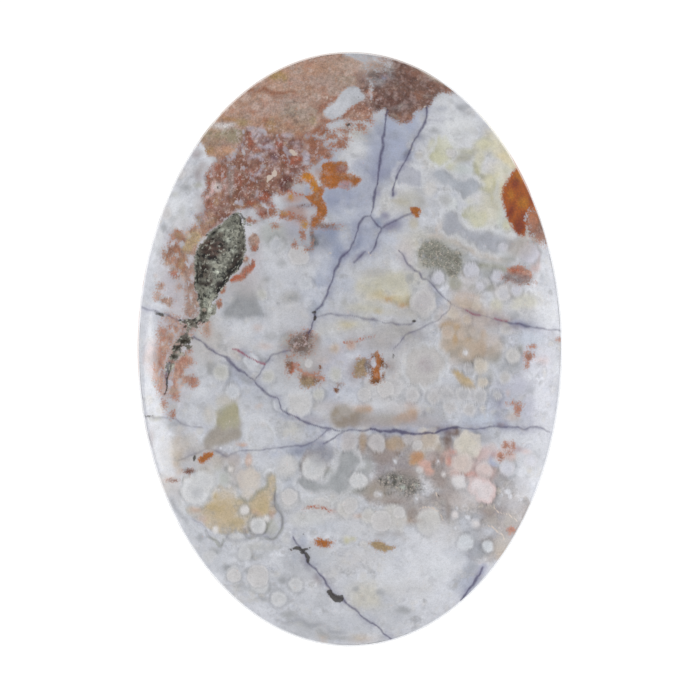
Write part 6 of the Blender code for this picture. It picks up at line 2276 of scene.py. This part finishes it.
# Islands of clearer chalcedony, grown together from round grains: a scalloped edge with a dark
# outline, and a white halo round it.
crowd_share = carried("crowd")
waver = place.node("ShaderNodeTexNoise", None, {"Vector": place, "Scale": 0.9, "Detail": 1.0}, "Color")
waver = start.node("ShaderNodeVectorMath", {"operation": "SCALE"}, {0: waver, "Scale": 0.45})
warped = start.node("ShaderNodeVectorMath", {"operation": "ADD"}, {0: place, 1: waver})
for size, shift, spread, filling, strength in (
    (1.1, 37, 2.2, (166, 165, 163), 0.42),
    (0.8, 47, 1.6, (172, 176, 188), 0.35),
    (0.9, 59, 2.0, (202, 193, 178), 0.4),
):
    reach = place.noise(spread, 1, 0.5, shift)
    edge = (warped.cells(size, shift=shift, randomness=0.9) - 0.02 - reach * 2.4) * size
    inside = (1 - edge.step(-0.2, 0.05)) * crowd_share
    halo = (1 - (edge - 0.22).abs().step(0.02, 0.22)) * crowd_share
    line = (1 - edge.abs().step(0.0, 0.13)) * crowd_share
    colour = colour.mix(paint(filling), inside * strength)
    colour = colour.bright(halo * 0.05 - line * 0.08 + inside * fine * 0.8)

# Crowds of small orbs: a pale rim round a core of another tint, and not every seed has grown one.
for size, shift in ((1.3, 5), (0.8, 17)):
    seed = warped.cells(size, shift=shift, randomness=0.85)
    chance = start.node("ShaderNodeSeparateColor", None, {"Color": seed.output("Color")})
    grown = chance.step(0.4, 0.5) * crowd_share
    edge = (seed - 0.24 - chance.output("Green") * 0.14) * size
    core = (1 - edge.step(-0.24, -0.06)) * grown
    kind = chance.output("Blue")
    colour = colour.mix(paint(GREY_CORE), core * kind.step(0.5, 0.56) * 0.4)
    colour = colour.mix(paint(CREAM_CORE), core * (1 - kind.step(0.26, 0.32)) * 0.35)
    colour = colour.mix(paint(BLUE_CORE), core * (kind.step(0.3, 0.36) - kind.step(0.5, 0.56)) * 0.35)
    rim = (1 - (edge + 0.04).abs().step(0.04, 0.15)) * grown
    line = (1 - (edge - 0.12).abs().step(0.0, 0.12)) * grown
    colour = colour.bright(rim * 0.06 - line * 0.05)

# The orbs that stand out have a pale rim just inside their edge.
ring_edge = carried("ring") + lumps * 0.05 + fine * 0.03
ring_glow = 1 - (ring_edge - 0.08).abs().step(0.02, 0.1)
ring_line = 1 - (ring_edge + 0.05).abs().step(0.02, 0.08)
colour = colour.bright(ring_glow * 0.06 - ring_line * 0.06)

# Grains in the grey field.
colour = colour.mix(paint(BUFF), place.noise(0.2, 3, 0.7, 61).step(0.04, 0.18) * grains * 0.5)
colour = colour.mix(paint(DARK_GRIT), place.noise(0.2, 3, 0.7, 71).step(0.06, 0.2) * grains * 0.5)

# Jasper: its edge breaks up into grains, and it is a mix of dark clots and pale grains.
ragged_edge = carried("jasper_reach") + lumps * 3.2 + fine * 5
in_jasper = ragged_edge.step(-1.3, 1.1)
clot = carried("clot")
rocky = clot.step(0.0, 0.25)
mix_noise = place.noise(0.36, 4, 0.7, 83)
rock = carried("jasper", "Vector")
rock = rock.mix(paint(GREY_GRIT), place.noise(0.7, 4, 0.7, 107).step(0.02, 0.2) * rocky * 0.45)
rock = rock.mix(paint(PINK_GRIT), place.noise(0.5, 4, 0.7, 113).step(0.04, 0.2) * rocky * 0.4)
rock = rock.mix(paint(RED_GRIT), place.noise(0.3, 3, 0.7, 127).step(0.06, 0.2) * rocky * 0.35)
rock = rock.bright(fine * 1.1 + lumps * 0.7 + broad * 0.5 + dust * 0.6)
rock = rock.mix(paint(LIVER), mix_noise.step(0.03, 0.16) * clot * 0.6)
rock = rock.mix(paint(PINK_CLOT), (0 - mix_noise).step(0.03, 0.15) * clot * 0.75)
rock = rock.mix(paint(SAND_CLOT), place.noise(0.18, 2, 0.6, 97).step(0.13, 0.22) * clot * 0.6)
colour = colour.mix(rock, in_jasper)

# Druse: pale and grey-green crystals with dark gaps between them. The dark gaps and hollows are painted
# shade.
# The lining is made lighter and darker with the crystals and hollows as painted light and shade, and the
# pale tips carry painted glints.
in_druse = (carried("druse") + lumps * 0.45 + fine * 0.3).step(-0.04, 0.05)
facets = place.cells(0.3, shift=3)
facet = start.node("ShaderNodeSeparateColor", None, {"Color": facets.output("Color")})
rubble = place.noise(0.42, 3, 0.7, 5)
hollows = place.noise(0.8, 4, 0.7, 9)
druse_lit_and_shaded = carried("pit_lining_and_shade", "Vector").bright(
    (facet - 0.4) * 0.7 + rubble * 2.4 + hollows * 2.2 + fine * 1.2,
)
druse_lit_and_shaded = druse_lit_and_shaded.mix(paint(CRYSTAL_GAP_SHADE), (hollows * 1.3 + rubble + facets * 0.25).step(0.17, 0.33) * 0.88)
druse_lit_and_shaded = druse_lit_and_shaded.mix(paint(CRYSTAL_TIP_AND_GLINT), place.noise(0.3, 3, 0.6, 7).step(0.06, 0.17) * 0.78)
colour = colour.mix(druse_lit_and_shaded, in_druse)

# Flecks, dark grains and veins.
in_fleck = (carried("fleck") + lumps * 0.1).step(-0.02, 0.04)
colour = colour.mix(paint(FLECK_TINT), in_fleck * 0.85)
ink = carried("vein") * (lumps * 0.8 + fine * 0.8 + 1.0)
colour = colour.mix(paint(VEIN_INK), ink.step(0.04, 1.2) * 0.8)
pink_line = carried("pink_vein") * (lumps * 1.5 + fine * 2 + 1.0)
colour = colour.mix(paint(PINK_INK), pink_line.step(0.0, 1.1) * 0.85)
in_dark = (carried("dark") + lumps * 0.22 + fine * 0.12).step(-0.04, 0.05)
colour = colour.mix(paint(DARK_GRAIN), in_dark * 0.85)

shader_in = {
    "Base Color": colour,
    "Roughness": 0.6 - carried("polish") * 0.46 + in_jasper * 0.05,
}
bump = start.node(
    "ShaderNodeBump",
    None,
    {
        "Strength": 0.35,
        "Distance": CRYSTAL_BUMP,
        "Height": lumps * in_jasper * 0.4 + (facets + fine) * in_druse * 3 - ink * 0.5,
    },
)
shader_in["Normal"] = bump
for name, wire in shader_in.items():
    polished.node_tree.links.new(wire.socket, shader.inputs[name])
shader.inputs["IOR"].default_value = QUARTZ_IOR

stone.data.materials.append(polished)
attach(stone, "root")
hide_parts("cabochon")


# The table
# A plain white sheet under the stone, lit from within so that it has no grey in it.

# The sheet lies a hair below the stone's back, so that the two planes don't coincide.
SHEET_GAP = 0.02 * MM
SHEET_WIDTH = 2.4
SHEET_GLOW = 0.85

deselect_all()
bpy.ops.mesh.primitive_plane_add(size=SHEET_WIDTH, location=(0, 0, -SHEET_GAP))
table = bpy.context.object
table.name = "table"
sheet = bpy.data.materials.new("white_sheet")
sheet.use_nodes = True
sheet_shader = sheet.node_tree.nodes["Principled BSDF"]
sheet_shader.inputs["Base Color"].default_value = (0.3, 0.3, 0.3, 1.0)
sheet_shader.inputs["Roughness"].default_value = 1.0
sheet_shader.inputs["Specular IOR Level"].default_value = 0.0
sheet_shader.inputs["Emission Color"].default_value = (1.0, 1.0, 1.0, 1.0)
sheet_shader.inputs["Emission Strength"].default_value = SHEET_GLOW
table.data.materials.append(sheet)


# The light
# A soft room, a slanted softbox low on the left and a wide one low on the right, which
# draw their straight edges on the dome's shoulders.


def softbox(name, middle, across, down, wide, tall, radiance):
    """A rectangular lamp with its middle and the directions of its two sides given."""
    lamp = bpy.data.lights.new(name, "AREA")
    lamp.shape = "RECTANGLE"
    lamp.size = wide
    lamp.size_y = tall
    lamp.energy = radiance * math.pi * wide * tall
    holder = bpy.data.objects.new(name, lamp)
    bpy.context.scene.collection.objects.link(holder)
    across = Vector(across).normalized()
    down = Vector(down).normalized()
    turn = Matrix((across, down, across.cross(down))).transposed().to_4x4()
    turn.translation = Vector(middle)
    holder.matrix_world = turn


softbox("right_box", (0.5, -0.16, 0.17), (0, 1, 0), (0, 0, 1), 0.58, 0.34, 1.6)

# The left one is a card with cut corners, whose upper edge slants down to the right.
CARD_DISTANCE = 0.5
CARD_GLOW = 5.0
CARD_CORNERS = [(0.13, 0.33), (-0.265, 0.665), (-0.375, 0.56), (-0.37, 0.045), (-0.12, 0.045)]
card_mesh = bpy.data.meshes.new("left_card")
card_mesh.from_pydata(
    [(-CARD_DISTANCE, y * CARD_DISTANCE, z * CARD_DISTANCE) for y, z in CARD_CORNERS],
    [],
    [range(len(CARD_CORNERS))],
)
left_card = bpy.data.objects.new("left_card", card_mesh)
bpy.context.scene.collection.objects.link(left_card)
glow = bpy.data.materials.new("card_glow")
glow.use_nodes = True
glow_shader = glow.node_tree.nodes["Principled BSDF"]
glow_shader.inputs["Base Color"].default_value = (0, 0, 0, 1)
glow_shader.inputs["Emission Color"].default_value = (1, 1, 1, 1)
glow_shader.inputs["Emission Strength"].default_value = CARD_GLOW
card_mesh.materials.append(glow)

ROOM_GLOW = 0.7
world = bpy.data.worlds.new("soft_room")
world.use_nodes = True
world.node_tree.nodes["Background"].inputs["Color"].default_value = (1.0, 1.0, 1.0, 1.0)
world.node_tree.nodes["Background"].inputs["Strength"].default_value = ROOM_GLOW
bpy.context.scene.world = world
bpy.context.scene.view_settings.view_transform = "Standard"


# The camera
# Straight above the stone and far enough away that it sees the oval without perspective.

VIEW_WIDTH = 49.41 * MM
VIEW_MIDDLE = (0, -0.05 * MM)
CAMERA_HEIGHT = 1.5
SENSOR_WIDTH = 36
camera_data = bpy.data.cameras.new("overhead")
camera_data.sensor_width = SENSOR_WIDTH
camera_data.lens = SENSOR_WIDTH * (CAMERA_HEIGHT - SKIRT) / VIEW_WIDTH
camera_data.clip_start = 0.01
camera_data.clip_end = 10
camera = bpy.data.objects.new("overhead", camera_data)
camera.location = (*VIEW_MIDDLE, CAMERA_HEIGHT)
bpy.context.scene.collection.objects.link(camera)
bpy.context.scene.camera = camera
